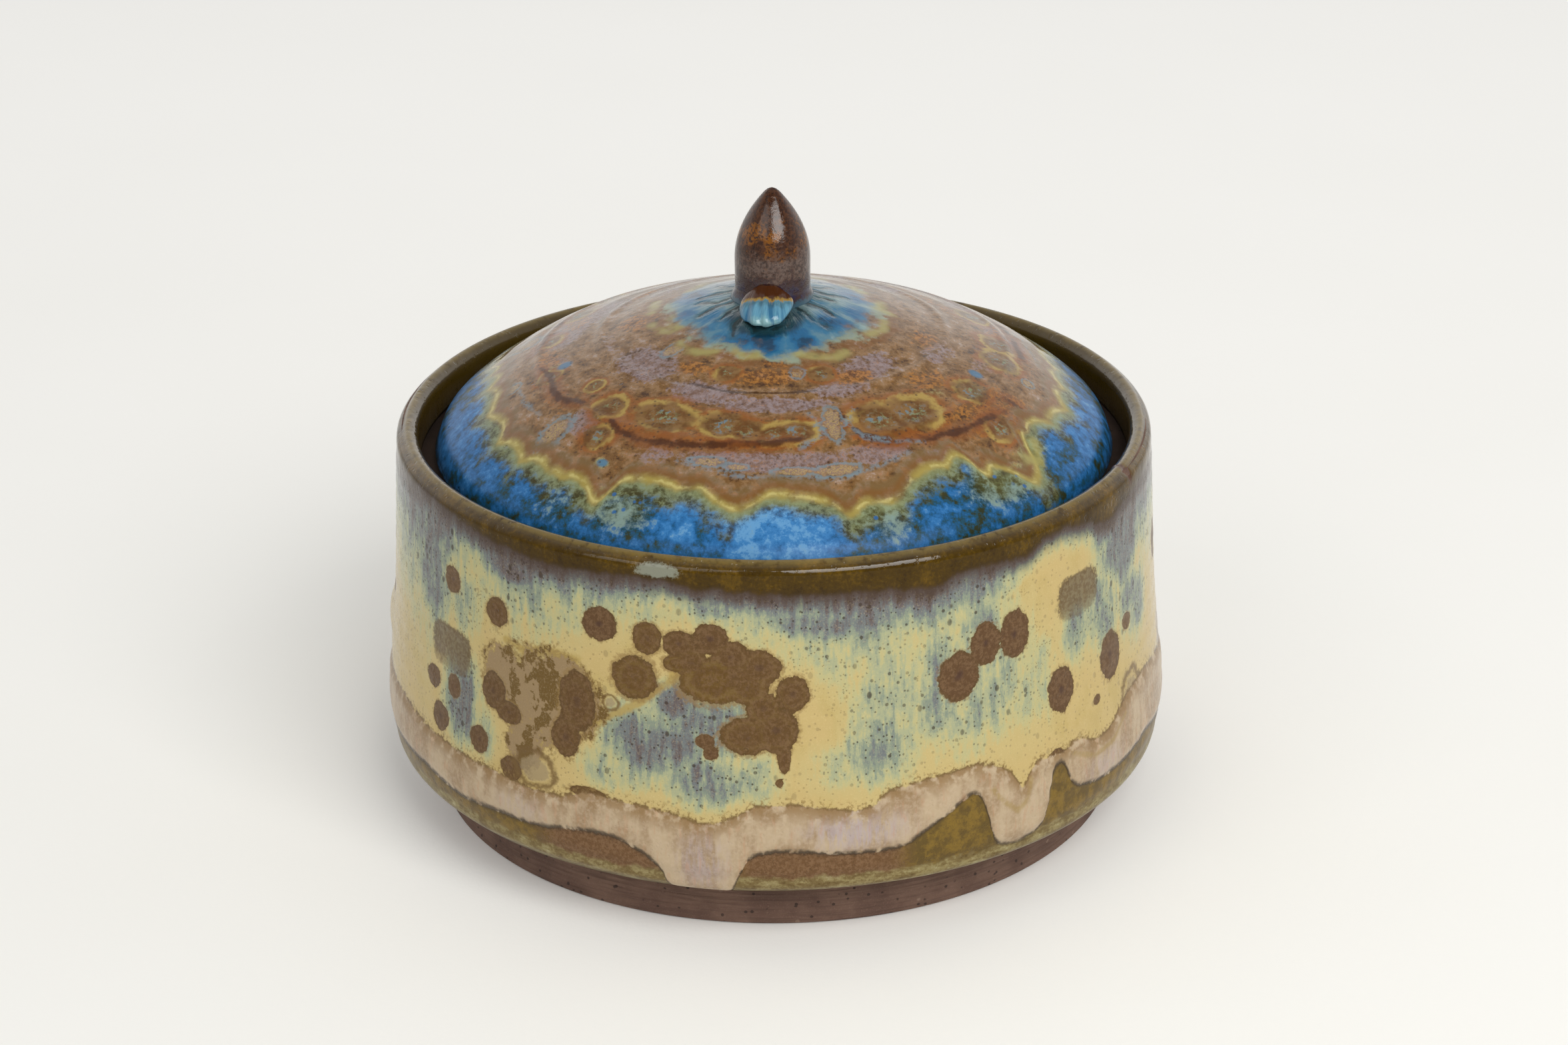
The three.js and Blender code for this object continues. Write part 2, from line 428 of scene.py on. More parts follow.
# Lines around the wall, as (turn, height). The far side of the bowl is a guess.
RIM_EDGE = [
    (-178, 59), (-160, 60), (-150, 60.6), (-142, 59.8), (-135, 58.9), (-125, 58.4), (-118, 58.4),
    (-112, 58.9), (-106, 59), (-102, 58.3), (-97, 58.1), (-92, 57.8), (-84, 57.4), (-78, 57.6),
    (-71, 57.2), (-66.3, 56.4), (-64.5, 57.8), (-58, 58.1), (-52, 57.6), (-49.5, 58.9), (-44, 59.8),
    (-38, 58.2), (-34, 56.6), (-28, 57.6), (-20, 58.6), (0, 58), (30, 59), (60, 57.6), (90, 58.8),
    (120, 57.8), (150, 59.2),
]
VEIL_EDGE = [
    (-175, 49), (-160, 47), (-150, 42), (-143, 52), (-138, 54.5), (-134, 50.5), (-128, 48), (-122, 50),
    (-116, 52), (-110, 53.5), (-104, 54.5), (-98, 53.2), (-92, 52), (-86, 50), (-80, 47), (-74, 48),
    (-68, 49.5), (-62, 50), (-56, 53.6), (-50, 56.5), (-45, 57.5), (-40, 56.5), (-33, 50), (-25, 45),
    (-12, 49), (15, 53), (40, 47), (70, 54), (100, 49), (130, 55), (155, 48),
]
BAND_TOP = [
    (-178, 22), (-160, 23), (-150, 22.3), (-140, 22), (-132, 22), (-127, 21.5), (-121, 21.8),
    (-117, 23.6), (-113, 23.4), (-106, 22.8), (-103, 22.3), (-100.5, 21.3), (-97.5, 21.8), (-95, 23),
    (-93, 24.6), (-88.5, 24.8), (-84, 24.2), (-80, 23.3), (-77, 23.6), (-74.5, 25.8), (-70, 26.6),
    (-66, 26.8), (-61.5, 27.2), (-58.5, 26.2), (-56, 24.6), (-54.6, 22.4), (-53.8, 20.3), (-53, 22),
    (-51.6, 24.2), (-50, 24.6), (-48.5, 24.3), (-45.2, 24), (-43.4, 25), (-41.5, 24.6), (-39, 23),
    (-35, 22.8), (-32, 24.6), (-28, 26.5), (-22, 27), (-15, 26), (0, 23), (20, 25), (45, 21.5),
    (70, 24), (95, 26), (120, 22), (145, 24.5), (165, 21.5),
]
BAND_LOW = [
    (-178, 15), (-165, 14.5), (-150, 15.5), (-140, 14.6), (-132, 15.4), (-124, 15.6), (-120, 16.8),
    (-116, 17.3), (-112, 17.1), (-109.5, 16), (-107, 14.4), (-105.6, 12.8), (-104.8, 9), (-96.2, 9),
    (-95, 13), (-94.2, 15.8), (-92, 16.9), (-88, 17.2), (-84, 16.7), (-78, 16.3), (-74, 16.3),
    (-71.5, 17), (-69, 18.6), (-66, 20.4), (-64, 21.8), (-62, 22.8), (-60.6, 22), (-59.9, 19.4),
    (-59.4, 16), (-58.7, 13.4), (-57, 12.2), (-54, 11.8), (-51, 12.6), (-49.6, 14.4), (-48.9, 17.5),
    (-48.3, 22), (-45.6, 22.6), (-44.8, 18.8), (-43, 17), (-38, 15.8), (-30, 15.6), (-22, 16.5),
    (-12, 14.5), (0, 15.5), (15, 12), (22, 9), (30, 9), (36, 15), (55, 17), (75, 13.5), (90, 16),
    (110, 17.5), (125, 10), (133, 9), (140, 14), (160, 16.5),
]

# Brown spots: turn, height, half width, half height, and tone from chocolate (0) to olive (1).
SPOTS = [
    (-115, 50.7, 2.9, 2.8, 0), (-143.2, 49.4, 2.1, 2.2, 0.3), (-133, 47.8, 2.4, 2.4, 0.4),
    (-148.5, 31.3, 2.2, 1.9, 0.2), (-142.7, 31.9, 1.7, 2, 0.2), (-146, 25.6, 2.5, 2.4, 0.2),
    (-136.4, 25.8, 2.2, 2.3, 0.2), (-133.6, 34.8, 2.6, 3.1, 0.35), (-109.7, 43.1, 3.5, 3.6, 0.7),
    (-107.8, 49.7, 2.3, 2.6, 0.5), (-103.2, 49.3, 2.6, 2.2, 0.3), (-98.8, 50.5, 2.7, 2.5, 0.2),
    (-96, 47.8, 2.8, 2.6, 0.3), (-92, 46.2, 3.2, 2.8, 0.4), (-103.6, 46.2, 2.2, 1.4, 0.8),
    (-98.5, 44, 5.4, 3.8, 0.9), (-93.5, 43, 3, 2.8, 0.6), (-87.6, 42.1, 2.6, 3, 0.4),
    (-91.6, 39.8, 2.8, 2.6, 0.5), (-93.9, 35.4, 4, 3, 0.5), (-89.8, 36.2, 3.4, 3.6, 0.4),
    (-88.8, 31.8, 0.9, 2.5, 0.3), (-89.5, 28.1, 0.65, 0.75, 0.4), (-99.6, 34.3, 1.5, 1.2, 0.1),
    (-98.8, 32.5, 1.2, 1.2, 0.1), (-63.8, 41.8, 3.5, 4, 0), (-59.4, 45.9, 2.7, 3.5, 0),
    (-54.4, 46, 2.8, 3.9, 0), (-45.6, 34, 3, 3.8, 0), (-33.2, 34.6, 3.2, 4.1, 0.1),
    (-37.5, 29, 1, 0.9, 0.3), (-47.2, 23.5, 1.9, 1.4, 0.1), (-116.7, 23.3, 3.2, 1, 0.5),
    (-129.8, 23.4, 2.2, 2, 0.4), (-27.5, 37.8, 1.6, 1.4, 0.5), (-118.6, 37.4, 3.2, 5.2, 0.35),
    (-120.4, 31.4, 2.6, 3.2, 0.35), (-130.5, 32.2, 2.6, 1.8, 0.4), (-43, 21.2, 2.4, 2.2, 0.95),
    (-48.5, 20, 2, 3.5, 0.9), (-101.6, 46.6, 3, 2.2, 0.45), (-95.4, 44.6, 3.4, 2.6, 0.5),
]
# Rings: like spots, with a pale heart.
RINGS = [
    (-125.6, 24.7, 4.2, 3.3), (-113.3, 38.5, 1.5, 1.4), (-27, 25.5, 3.9, 4.4),
]
# Mottled patches: turn, height, half width, half height.
PATCHES = [
    (-124, 36.5, 8.6, 7.6), (-131.5, 38.5, 4.4, 4.6), (-121, 41.5, 5, 2.6),
    (-127.5, 28, 3.4, 4.2), (-118.4, 37, 4.4, 5.4),
]
# Solid olive-brown patches.
SLABS = [
    (-143.8, 37.8, 5.6, 3.8), (-41.3, 48, 5, 3.6), (-46.8, 19.8, 2.4, 3.2), (-42.6, 21, 2.3, 1.9),
]
# Where the glaze lies thick: turn, height, half width (degrees), half height, thickness.
THICK = [
    (-82, 54, 14, 6, 0.72), (-130, 56, 10, 4.5, 0.84), (-98, 56, 8, 4, 0.62), (-104, 40, 5, 4.5, 0.78),
    (-74, 38, 8, 17, 0.48), (-62, 42, 14, 18, 0.55), (-51, 37, 7, 11, 0.36), (-77, 33, 5, 9, 0.60),
    (-92.5, 29, 5, 6, 0.46), (-113, 28, 7, 5, 0.52), (-124, 51, 8, 6, 0.46), (-107, 33, 11, 8.5, 0.72),
    (-99, 37, 8, 8, 0.72), (-100, 28, 9, 6, 0.64), (-141, 31, 6, 11, 0.74), (-136, 27, 4, 6, 0.5),
    (-149, 48, 7, 12, 0.72), (-140, 47, 5, 9, 0.44), (-42, 43, 5, 8, 0.60), (-35, 43, 8, 9, 0.60),
    (-82, 30, 6, 5, 0.38), (-28, 51, 11, 9, 0.78), (-24, 40, 8, 9, 0.6),
]
# A yellow-ochre run beside the big cluster, and pale threads inside the band.
OCHRE_RUNS = [
    [(-103, 46.2), (-104.5, 43.4), (-107, 41.2), (-110, 38.6), (-113, 36.6), (-116.5, 34.4)],
    [(-131, 44), (-127.5, 43.2), (-123.5, 44.6), (-118.5, 44.2)],
]
THREADS = [
    [(-59, 22.4), (-57, 19.6), (-54.8, 17.6), (-53, 19), (-52.4, 22)],
    [(-44, 23), (-39, 20.4), (-34, 20.8), (-30, 23.4)],
]
# Where the thin glaze under the band is tan: turn, and half widths of the full tone and its fade.
TAN_STRETCHES = [(-114, 7, 13), (-84, 9, 14), (70, 18, 30)]
# Violet patches of the band.
VIOLET = [(-79, 20, 8, 3.5, 1), (-100, 15, 4, 6, 0.7), (-128, 18, 5, 3, 0.4), (-36, 18, 6, 3, 0.6)]
# A flake on the rim, painted pale grey-green as its highlight, as (turn, height, half width, half height),
# and a hair crack's turn.
FLAKE_HIGHLIGHT = (-106.3, 60.3, 4.2, 1.3)
RIM_CRACK = -24.5

# Rows of colours from thin to thick, or from dark to pale.
BREAKING_GLAZE = [
    (0.0, "c1aa72"), (0.20, "c0ad76"), (0.34, "b6b080"), (0.46, "a3a785"), (0.58, "86917f"),
    (0.70, "6f7576"), (0.84, "665e5e"), (1.0, "4f4036"),
]
ROLLED_GLAZE = [(0.34, "5a4826"), (0.46, "75643e"), (0.56, "8f8258"), (0.68, "aaa27c")]
RIM_GLAZE = [(0.36, "352402"), (0.48, "443103"), (0.58, "574005"), (0.68, "705210")]


def on_the_far_side(count, sizes, *extra):
    """More places like those of the near side, for the half that the camera doesn't see."""
    made = []
    for _ in range(count):
        turn = rng.uniform(-12, 192)
        height = rng.uniform(26, 54)
        half = rng.uniform(*sizes)
        tall = half * rng.uniform(0.9, 1.3)
        made.append((turn, height, half, tall, *[rng.uniform(a, b) for a, b in extra]))
    return made


SPOTS += on_the_far_side(34, (1.0, 3.4), (0.0, 0.9))
RINGS += on_the_far_side(4, (1.0, 3.4))
PATCHES += on_the_far_side(5, (3.0, 7.0))
SLABS += on_the_far_side(5, (2.0, 4.5))
THICK += [(t, z, 2 * w, 2.2 * h, k) for t, z, w, h, k in on_the_far_side(14, (3.0, 6.0), (0.4, 0.75))]


def disc_field(turn, height, radius, places, power=2.0):
    """1 at the heart of the nearest disc, 0 at its edge, less outside; and which disc it is.

    A power over 2 squares the discs off.
    """
    best = np.full(turn.shape, -9.0)
    which = np.zeros(turn.shape, int)
    for i, (centre, level, half, tall, *_) in enumerate(places):
        across = np.radians(turn_gap(turn, centre)) * radius / half
        inside = 1 - (np.abs(across) ** power + np.abs((height - level) / tall) ** power) ** (1 / power)
        which = np.where(inside > best, i, which)
        best = np.maximum(best, inside)
    return np.maximum(best, -2.0), which


def along_wall(turn, height):
    """Turn and height unrolled to millimetres."""
    return np.stack([np.radians(turn) * WALL_PLACES[1][0], height], -1)


def on_lid(turn, radius):
    """Turn and radius seen from above, in millimetres."""
    angle = np.radians(turn)
    return np.stack([radius * np.cos(angle), radius * np.sin(angle)], -1)


def stroke_field(places, strokes, flatten):
    """Distance in millimetres to the nearest of some strokes; flatten maps their points."""
    nearest = np.full(len(places), 99.0)
    for stroke in strokes:
        points = flatten(*np.array(stroke, float).T)
        for start, end in zip(points[:-1], points[1:]):
            way = end - start
            t = np.clip((places - start) @ way / (way @ way), 0, 1)
            gap = np.linalg.norm(places - start - t[:, None] * way, axis=1)
            nearest = np.minimum(nearest, gap)
    return nearest


def area_field(turn, height, places):
    """Strength of soft areas, each (turn, height, half width in degrees, half height, strength)."""
    total = np.zeros(turn.shape)
    for centre, level, half, tall, strength in places:
        reach = np.hypot(turn_gap(turn, centre) / half, (height - level) / tall)
        total = np.maximum(total, strength * soft(reach, 1.3, 0.25))
    return total


def bowl_unevenness(turn, radius, height):
    """The thrown wall isn't quite round; the glaze swells in its runs and rolls at its edge."""
    throwing = 0.03 * np.sin(height * 1.9 + 2.2 * ripple(turn, height, 3))
    blister = 0.8 * np.exp(-((turn_gap(turn, -179) / 5) ** 2) - ((height - 29) / 3.5) ** 2)
    round_off = 0.22 * ripple(turn, height, 5, 60.0, 4)
    top = wavy(BAND_TOP, turn)
    foot_of_band = wavy(BAND_LOW, turn)
    run = 0.28 * soft(top - height, 0, 1.6) * soft(height - foot_of_band, -0.2, 1.4)
    roll = 0.75 * soft(np.abs(height - 10.2), 2.2, 0.0) * (0.8 + 0.3 * ripple(turn, height, 8))
    out = throwing + blister + round_off + run + roll - 0.42
    up = 0.25 * ripple(turn, 0 * height, 11, 60.0, 3) * soft(height, 40, 62) - 0.2 * soft(height, 50, 62)
    up += 0.35 * ripple(turn, 0 * height, 13, 60.0, 8) * soft(height, 11.5, 9.5)
    crack = np.exp(-((turn_gap(turn, RIM_CRACK) / 0.5) ** 2)) * soft(height, 60.0, 61.6)
    return out - 0.35 * crack, up


def bowl_coat():
    """The glaze on the wall, rolled over the lip and down to the gallery."""
    wall = smooth(WALL_PLACES, 110)
    inside = LIP_CENTRE - LIP_RADIUS
    clay_lip = LIP_RADIUS - GLAZE + SEAM
    low_inside = GALLERY_HEIGHT + SEAM
    centre = (LIP_CENTRE, LIP_CENTRE_HEIGHT)
    outline = np.vstack([
        wall,
        arc(centre, LIP_RADIUS, 0, 180, 16)[1:],
        line((inside, LIP_CENTRE_HEIGHT), (inside, low_inside), 9)[1:],
        line((inside, low_inside), (LIP_CENTRE - clay_lip, low_inside), 3)[1:],
        arc(centre, clay_lip, 180, 0, 8),
        offset(smooth(WALL_PLACES, 14), GLAZE - SEAM)[::-1][1:],
    ])
    obj = turned("bowl_glaze_coat", outline, steps=576, move=bowl_unevenness)
    turn, radius, height = places_of(obj)
    spot, spot_index = disc_field(turn, height, radius, SPOTS)
    slab, slab_index = disc_field(turn, height, radius, SLABS, 4.0)
    slab_places = np.array(SLABS)[slab_index]
    stretches = [soft(np.abs(turn_gap(turn, middle)), fade, full) for middle, full, fade in TAN_STRETCHES]
    rim_edge = wavy(RIM_EDGE, turn)
    veil_edge = wavy(VEIL_EDGE, turn)
    unrolled = along_wall(turn, height)
    store(
        obj,
        rim=height - rim_edge,
        veil=(height - veil_edge) / (rim_edge - veil_edge),
        thick=area_field(turn, height, THICK),
        spot=spot,
        tone=np.array(SPOTS)[spot_index, 4],
        ring=disc_field(turn, height, radius, RINGS)[0],
        patch=disc_field(turn, height, radius, PATCHES)[0],
        slab=slab,
        slab_level=(height - slab_places[:, 1]) / slab_places[:, 3],
        ochre=stroke_field(unrolled, OCHRE_RUNS, along_wall),
        thread=stroke_field(unrolled, THREADS, along_wall),
        violet=area_field(turn, height, VIOLET),
        band=wavy(BAND_TOP, turn) - height,
        low=wavy(BAND_LOW, turn) - height,
        tan=np.maximum.reduce(stretches),
        flake=disc_field(turn, height, radius, [FLAKE_HIGHLIGHT])[0],
        crack=soft(np.abs(turn_gap(turn, RIM_CRACK)), 1.1, 0.2) * soft(height, 58.5, 60.5),
        inner=soft(radius, 57.6, 56.9) * soft(height, 50, 54),
    )
    finish_piece(obj, "jar", "outer_glaze", bowl_glaze())


def bowl_glaze():
    """Cream to blue glaze with brown spots, a pink run band and an olive-brown rim."""
    g = Glaze("bowl_glaze")
    hair = g.noise(0.9, tall=5, detail=5, rough=0.65)
    lanes = g.noise(2.3, tall=6, detail=3)
    cloud = g.noise(5, tall=1.5, detail=4, rough=0.6)
    grain = g.noise(0.25, detail=2)
    wobble = g.noise(1.7, detail=3)
    crumbs = g.noise(0.6, detail=4, rough=0.65)

    # The thicker the glaze lies, the further it goes from cream through blue to purple-brown.
    veil = g.field("veil")
    curtain = veil.ramp(-1.5, 0.35) * (0.44 + veil.ramp(0.1, 1.1) * 0.5)
    thick = g.top(g.field("thick"), curtain)
    lively = 0.35 + thick.ramp(0.05, 0.45) * 0.65
    shift = lanes.sway(0.4) + hair.sway(0.7) + cloud.sway(0.7)
    shift += crumbs.sway(0.25)
    thick += shift * lively
    colour = thick.colours(BREAKING_GLAZE)
    colour.lay(cloud.ramp(0.45, 0.65) * thick.ramp(0.3, 0.1) * 0.5, "b59f62")
    colour.lay(grain.ramp(0.5, 0.8) * 0.3, "d6c493")

    # Dark specks, denser where it is thick.
    busy = 0.3 + thick.ramp(0.2, 0.6) * 0.7
    speck = g.top(g.specks(1.3, 0.45, 0.26), g.specks(0.62, 0.4, 0.32))
    speck = g.top(speck, g.specks(2.3, 0.45, 0.21, tall=1.4))
    colour.lay(speck * busy * 0.78, "3d3228")
    smudge = crumbs.ramp(0.6, 0.7) * thick.ramp(0.5, 0.8)
    colour.lay(smudge * 0.55, "5a4c3c")
    pepper = g.specks(0.42, 0.6, 0.34) * cloud.ramp(0.5, 0.62)
    colour.lay(pepper * thick.bell(0.35, 0.3) * 0.7, "6b5632")

    # Ochre runs, mottled patches and solid slabs.
    ochre = g.field("ochre") + wobble.sway(1.6)
    colour.lay(ochre.ramp(1.0, 0.2) * 0.8, "ab9250")
    patch = g.field("patch") + crumbs.sway(1.0) + wobble.sway(1.1)
    island = (cloud.sway(2.4) + wobble.sway(1.4) + crumbs.sway(0.6)).ramp(-0.02, 0.1)
    patch_colour = island.between("957e5c", "6a5228")
    patch_colour.lay(grain.ramp(0.5, 0.7) * 0.4, "a38c69")
    colour.lay(patch.ramp(-0.2, 0.0) * 0.75, "927a48")
    colour.lay(patch.ramp(0.02, 0.1), patch_colour)
    slab = g.field("slab") + crumbs.sway(0.5)
    slab_colour = crumbs.two_tone(0.42, 0.6, "665339", "786a4e")
    slab_colour.lay(slab.ramp(0.25, 0.05) * 0.6, "564023")
    fading = g.field("slab_level") + wobble.sway(1.4)
    colour.lay(slab.ramp(-0.05, 0.12) * fading.ramp(-1.5, -0.2) * 0.95, slab_colour)

    # Brown spots: a yellow halo, a darker brink, a grainy body and a dark heart.
    spot = g.field("spot") + crumbs.sway(0.24) + wobble.sway(0.42)
    tone = g.field("tone")
    body = tone.between("5d432a", "6a5024")
    body.lay(crumbs.ramp(0.42, 0.62) * 0.6, "7b6044")
    body.lay(grain.ramp(0.5, 0.7) * 0.4, "4c3622")
    body.lay(spot.bell(0.55, 0.2) * tone * 0.45, "54391a")
    body.lay(spot.bell(0.32, 0.14) * tone * 0.3, "806a3a")
    body.lay(spot.ramp(0.7, 0.95) * (1 - tone) * 0.8, "463028")
    body.lay(spot.ramp(0.2, 0.02) * 0.5, "54401f")
    edge = spot.ramp(0.0, 0.05)
    halo = spot + tone * 0.2 + crumbs.sway(0.5)
    colour.lay(halo.ramp(-0.12, 0.12) * 0.7, "8c7144")
    colour.lay(edge, body)

    # Rings with a pale heart.
    ring = g.field("ring") + wobble.sway(0.6) + crumbs.sway(0.3)
    colour.lay(ring.bell(0.12, 0.28) * 0.85, "6e5530")
    colour.lay(ring.ramp(0.3, 0.5) * 0.75, "978566")

    # The pink-cream run band, its brown upper brink and what clings above it.
    band = g.field("band") + crumbs.sway(1.2) + wobble.sway(0.8)
    pink = (lanes.sway(0.6) + cloud.sway(1.0)).two_tone(-0.12, 0.15, "b8a487", "9c8466")
    pink.lay(crumbs.ramp(0.42, 0.62) * 0.4, "c0ab92")
    pink.lay(g.field("violet") * hair.ramp(0.35, 0.6) * 0.7, "aaa0a8")
    pink.lay(hair.ramp(0.54, 0.66) * 0.35, "b98d6c")
    pink.lay(g.field("band").ramp(3.8, 0.2) * wobble.ramp(0.36, 0.54) * 0.85, "8a6e48")
    thread = g.field("thread") + wobble.sway(0.8)
    pink.lay(thread.ramp(0.7, 0.1) * 0.6, "9c8450")
    colour.lay(band.ramp(-1.6, -0.2) * crumbs.ramp(0.52, 0.6) * 0.7, "8a7040")
    colour.lay(band.ramp(0.0, 0.35), pink)
    colour.lay(band.bell(0.1, 0.45) * wobble.ramp(0.36, 0.5) * 0.85, "6a5130")

    # Under the band the glaze is thin: tan or ochre, with a dark outline.
    low = g.field("low") + wobble.sway(1.0) + crumbs.sway(0.8)
    rubbed = wobble * 0.5 + crumbs * 0.25 + lanes * 0.25
    ochre = rubbed.two_tone(0.42, 0.58, "7d642a", "614e26")
    tan_colour = crumbs.two_tone(0.4, 0.62, "694c30", "7c5e42")
    thin = g.field("tan").between(ochre, tan_colour)
    thin.lay(grain.ramp(0.55, 0.7) * 0.5, "4e3a22")
    colour.lay(low.ramp(0.0, 0.25), thin)
    colour.lay(low.bell(0.0, 0.8) * wobble.ramp(0.3, 0.5) * 0.85, "3d3124")

    # The rolled edge of the glaze, pale green-ochre and streaked.
    level = g.height + lanes.sway(2.5)
    roll = level.ramp(13.0, 12.0) * g.field("low").ramp(-0.4, 0.6)
    along = g.noise(3.2, tall=0.3, detail=4, rough=0.65)
    roll_colour = (along * 0.6 + crumbs * 0.4).colours(ROLLED_GLAZE)
    colour.lay(roll * 0.9, roll_colour)
    colour.lay(g.height.ramp(9.9, 9.3) * 0.6, "4a3b26")

    # The rim: olive-brown, purple-brown where it thins into the veil, paler on the very lip.
    rim = g.field("rim") + lanes.sway(1.6) + crumbs.sway(0.6)
    rim_colour = (cloud * 0.6 + crumbs * 0.4).colours(RIM_GLAZE)
    colour.lay(rim.ramp(-3.2, 0.1) * 0.85, "4a3b33")
    colour.lay(rim.ramp(-0.3, 0.5), rim_colour)
    colour.lay(rim.bell(0.3, 0.9) * 0.5, "3a2a10")
    # Painted highlight: a pale grey-green flake-shaped glint on the rim.
    flake = g.field("flake") + crumbs.sway(1.2)
    colour.lay(flake.ramp(0.05, 0.4) * 0.8, "8b8f80")
    colour.lay(g.height.ramp(61.4, 62.1) * wobble.ramp(0.3, 0.5) * 0.55, "84713c")
    colour.lay(g.field("inner") * 0.85, "4a390f")
    colour.lay(g.field("crack"), "4e2812")

    rough = 0.16 + edge * 0.14
    rough += low.ramp(0, 0.5) * 0.14
    rough += band.ramp(0, 0.5) * low.ramp(0.3, -0.2) * 0.08
    rough -= rim.ramp(-1, 1) * 0.08
    relief = g.noise(3.5, detail=2) * 0.12
    relief -= speck * 0.03
    relief -= edge * 0.05
    relief += grain * 0.006
    relief -= low.ramp(-0.1, 0.3) * 0.1
    relief -= g.specks(4.5, 0.25, 0.09) * 0.12
    gloss = 0.16 + g.height.ramp(60.6, 61.6) * 0.6
    return g.finish(colour, rough, relief, specular=gloss)


# ------------------------------------------------------- clay and the foot

def bare_clay():
    """Dark unglazed stoneware: turning lines, iron specks, and a near-black painted shade at the heights
    where the lid is seated.
    """
    g = Glaze("bare_clay")
    blotch = g.noise(7, detail=4)
    grain = g.noise(0.25, detail=3, rough=0.7)
    rings = g.noise(9, tall=0.045, detail=2)
    colour = blotch.two_tone(0.35, 0.65, "60483d", "745a4c")
    colour.lay(grain.ramp(0.5, 0.75) * 0.5, "8a6e60")
    colour.lay(rings.ramp(0.5, 0.62) * 0.35, "523d33")
    colour.lay(g.specks(1.1, 0.35, 0.3) * 0.8, "30241f")
    colour.lay(g.specks(2.3, 0.18, 0.2) * 0.5, "9d8472")
    # Painted shade: near-black over the gallery, the lid's seat and its ring, where the gap under the lid
    # lies in shadow.
    colour.lay(g.height.bell(54.0, 5.5) * 0.92, "150f08")
    relief = rings * 0.25 + grain * 0.03
    relief -= g.specks(1.6, 0.3, 0.2) * 0.08
    rough = 0.62 + grain * 0.25
    return g.finish(colour, rough, relief, specular=0.35)


def foot_unevenness(turn, radius, height):
    """Fine turning lines."""
    lines = 0.07 * np.sin(height * 6.3 + 0.6 * ripple(turn, height, 21))
    return lines - 0.1 + 0.08 * ripple(turn, height, 23), 0 * height


def foot(clay):
    """The bare ring that the bowl stands on."""
    inner = FOOT_RADIUS - FOOT_RING_WIDTH
    bevel = 0.8
    outline = np.vstack([
        line((inner + bevel, 0), (FOOT_RADIUS - bevel, 0), 10),
        arc((FOOT_RADIUS - bevel, bevel), bevel, -90, 0, 6)[1:],
        line((FOOT_RADIUS, bevel), (FOOT_RADIUS, FOOT_HEIGHT), 40)[1:],
        line((FOOT_RADIUS, FOOT_HEIGHT), (inner, FOOT_HEIGHT), 6)[1:],
        line((inner, FOOT_HEIGHT), (inner, bevel), 8)[1:],
    ])
    obj = turned("turned_foot", outline, steps=360, move=foot_unevenness)
    finish_piece(obj, "jar", "foot_ring", clay)


def inner_surface(count):
    """The outline inside the clay, from below the gallery down to the floor's middle."""
    corner = (INNER_WALL - FLOOR_CORNER, FLOOR_HEIGHT + FLOOR_CORNER)
    return np.vstack([
        line((INNER_WALL, GALLERY_LOW - SEAM), (INNER_WALL, corner[1]), count),
        arc(corner, FLOOR_CORNER, 0, -90, count)[1:],
        line((corner[0], FLOOR_HEIGHT), (2.0, FLOOR_HEIGHT), count)[1:],
    ])


def bowl_clay(clay):
    """The thrown wall, lip and floor under the glaze."""
    plug = FOOT_RADIUS - FOOT_RING_WIDTH - SEAM
    lip = LIP_RADIUS - GLAZE
    step = FOOT_HEIGHT + SEAM
    outline = np.vstack([
        [(0, FOOT_RECESS)],
        line((3, FOOT_RECESS), (plug, FOOT_RECESS), 12),
        line((plug, FOOT_RECESS), (plug, step), 3)[1:],
        line((plug, step), (60.2, step), 8)[1:],
        offset(smooth(WALL_PLACES, 30), GLAZE + 0.35),
        arc((LIP_CENTRE, LIP_CENTRE_HEIGHT), lip, 0, 180, 10)[1:],
        inner_surface(12),
        [(0, FLOOR_HEIGHT)],
    ])
    obj = turned("bowl_clay_body", outline, steps=192)
    finish_piece(obj, "jar", "jar_body", clay)


def gallery(clay):
    """The ledge inside the rim that the lid sits on."""
    outer = INNER_WALL - SEAM
    nose = 0.5
    outline = np.vstack([
        arc((GALLERY_INNER + nose, GALLERY_HEIGHT - nose), nose, 90, 200, 6),
        line((GALLERY_INNER + nose, GALLERY_HEIGHT - 1.5), (outer, GALLERY_LOW), 6),
        line((outer, GALLERY_LOW), (outer, GALLERY_HEIGHT), 4)[1:],
    ])
    obj = turned("lid_gallery_ledge", outline, steps=240)
    finish_piece(obj, "jar", "lid_gallery", clay)


def liner_glaze():
    """Dark olive glaze with streaks and throwing rings."""
    g = Glaze("liner_glaze")
    blotch = g.noise(6, detail=4)
    streak = g.noise(2, tall=7, detail=3)
    rings = g.noise(14, tall=0.12, detail=2)
    colour = blotch.two_tone(0.35, 0.65, "4a3a16", "5f4c20")
    colour.lay(streak.ramp(0.5, 0.65) * 0.5, "7b6c3c")
    colour.lay(g.specks(1.4, 0.3, 0.25) * 0.7, "2c220e")
    relief = rings * 0.35 + blotch * 0.1
    return g.finish(colour, 0.18, relief)


def bowl_liner():
    """The glaze inside the bowl."""
    down = inner_surface(18)
    skin = offset(down, -SEAM - LINER)
    outline = np.vstack([
        [(0, FLOOR_HEIGHT + SEAM)],
        offset(down, -SEAM)[::-1],
        skin,
        [(0, FLOOR_HEIGHT + SEAM + LINER)],
    ])
    obj = turned("bowl_liner_coat", outline, steps=240)
    finish_piece(obj, "jar", "liner_glaze", liner_glaze())


# ---------------------------------------------------- the pattern on the lid

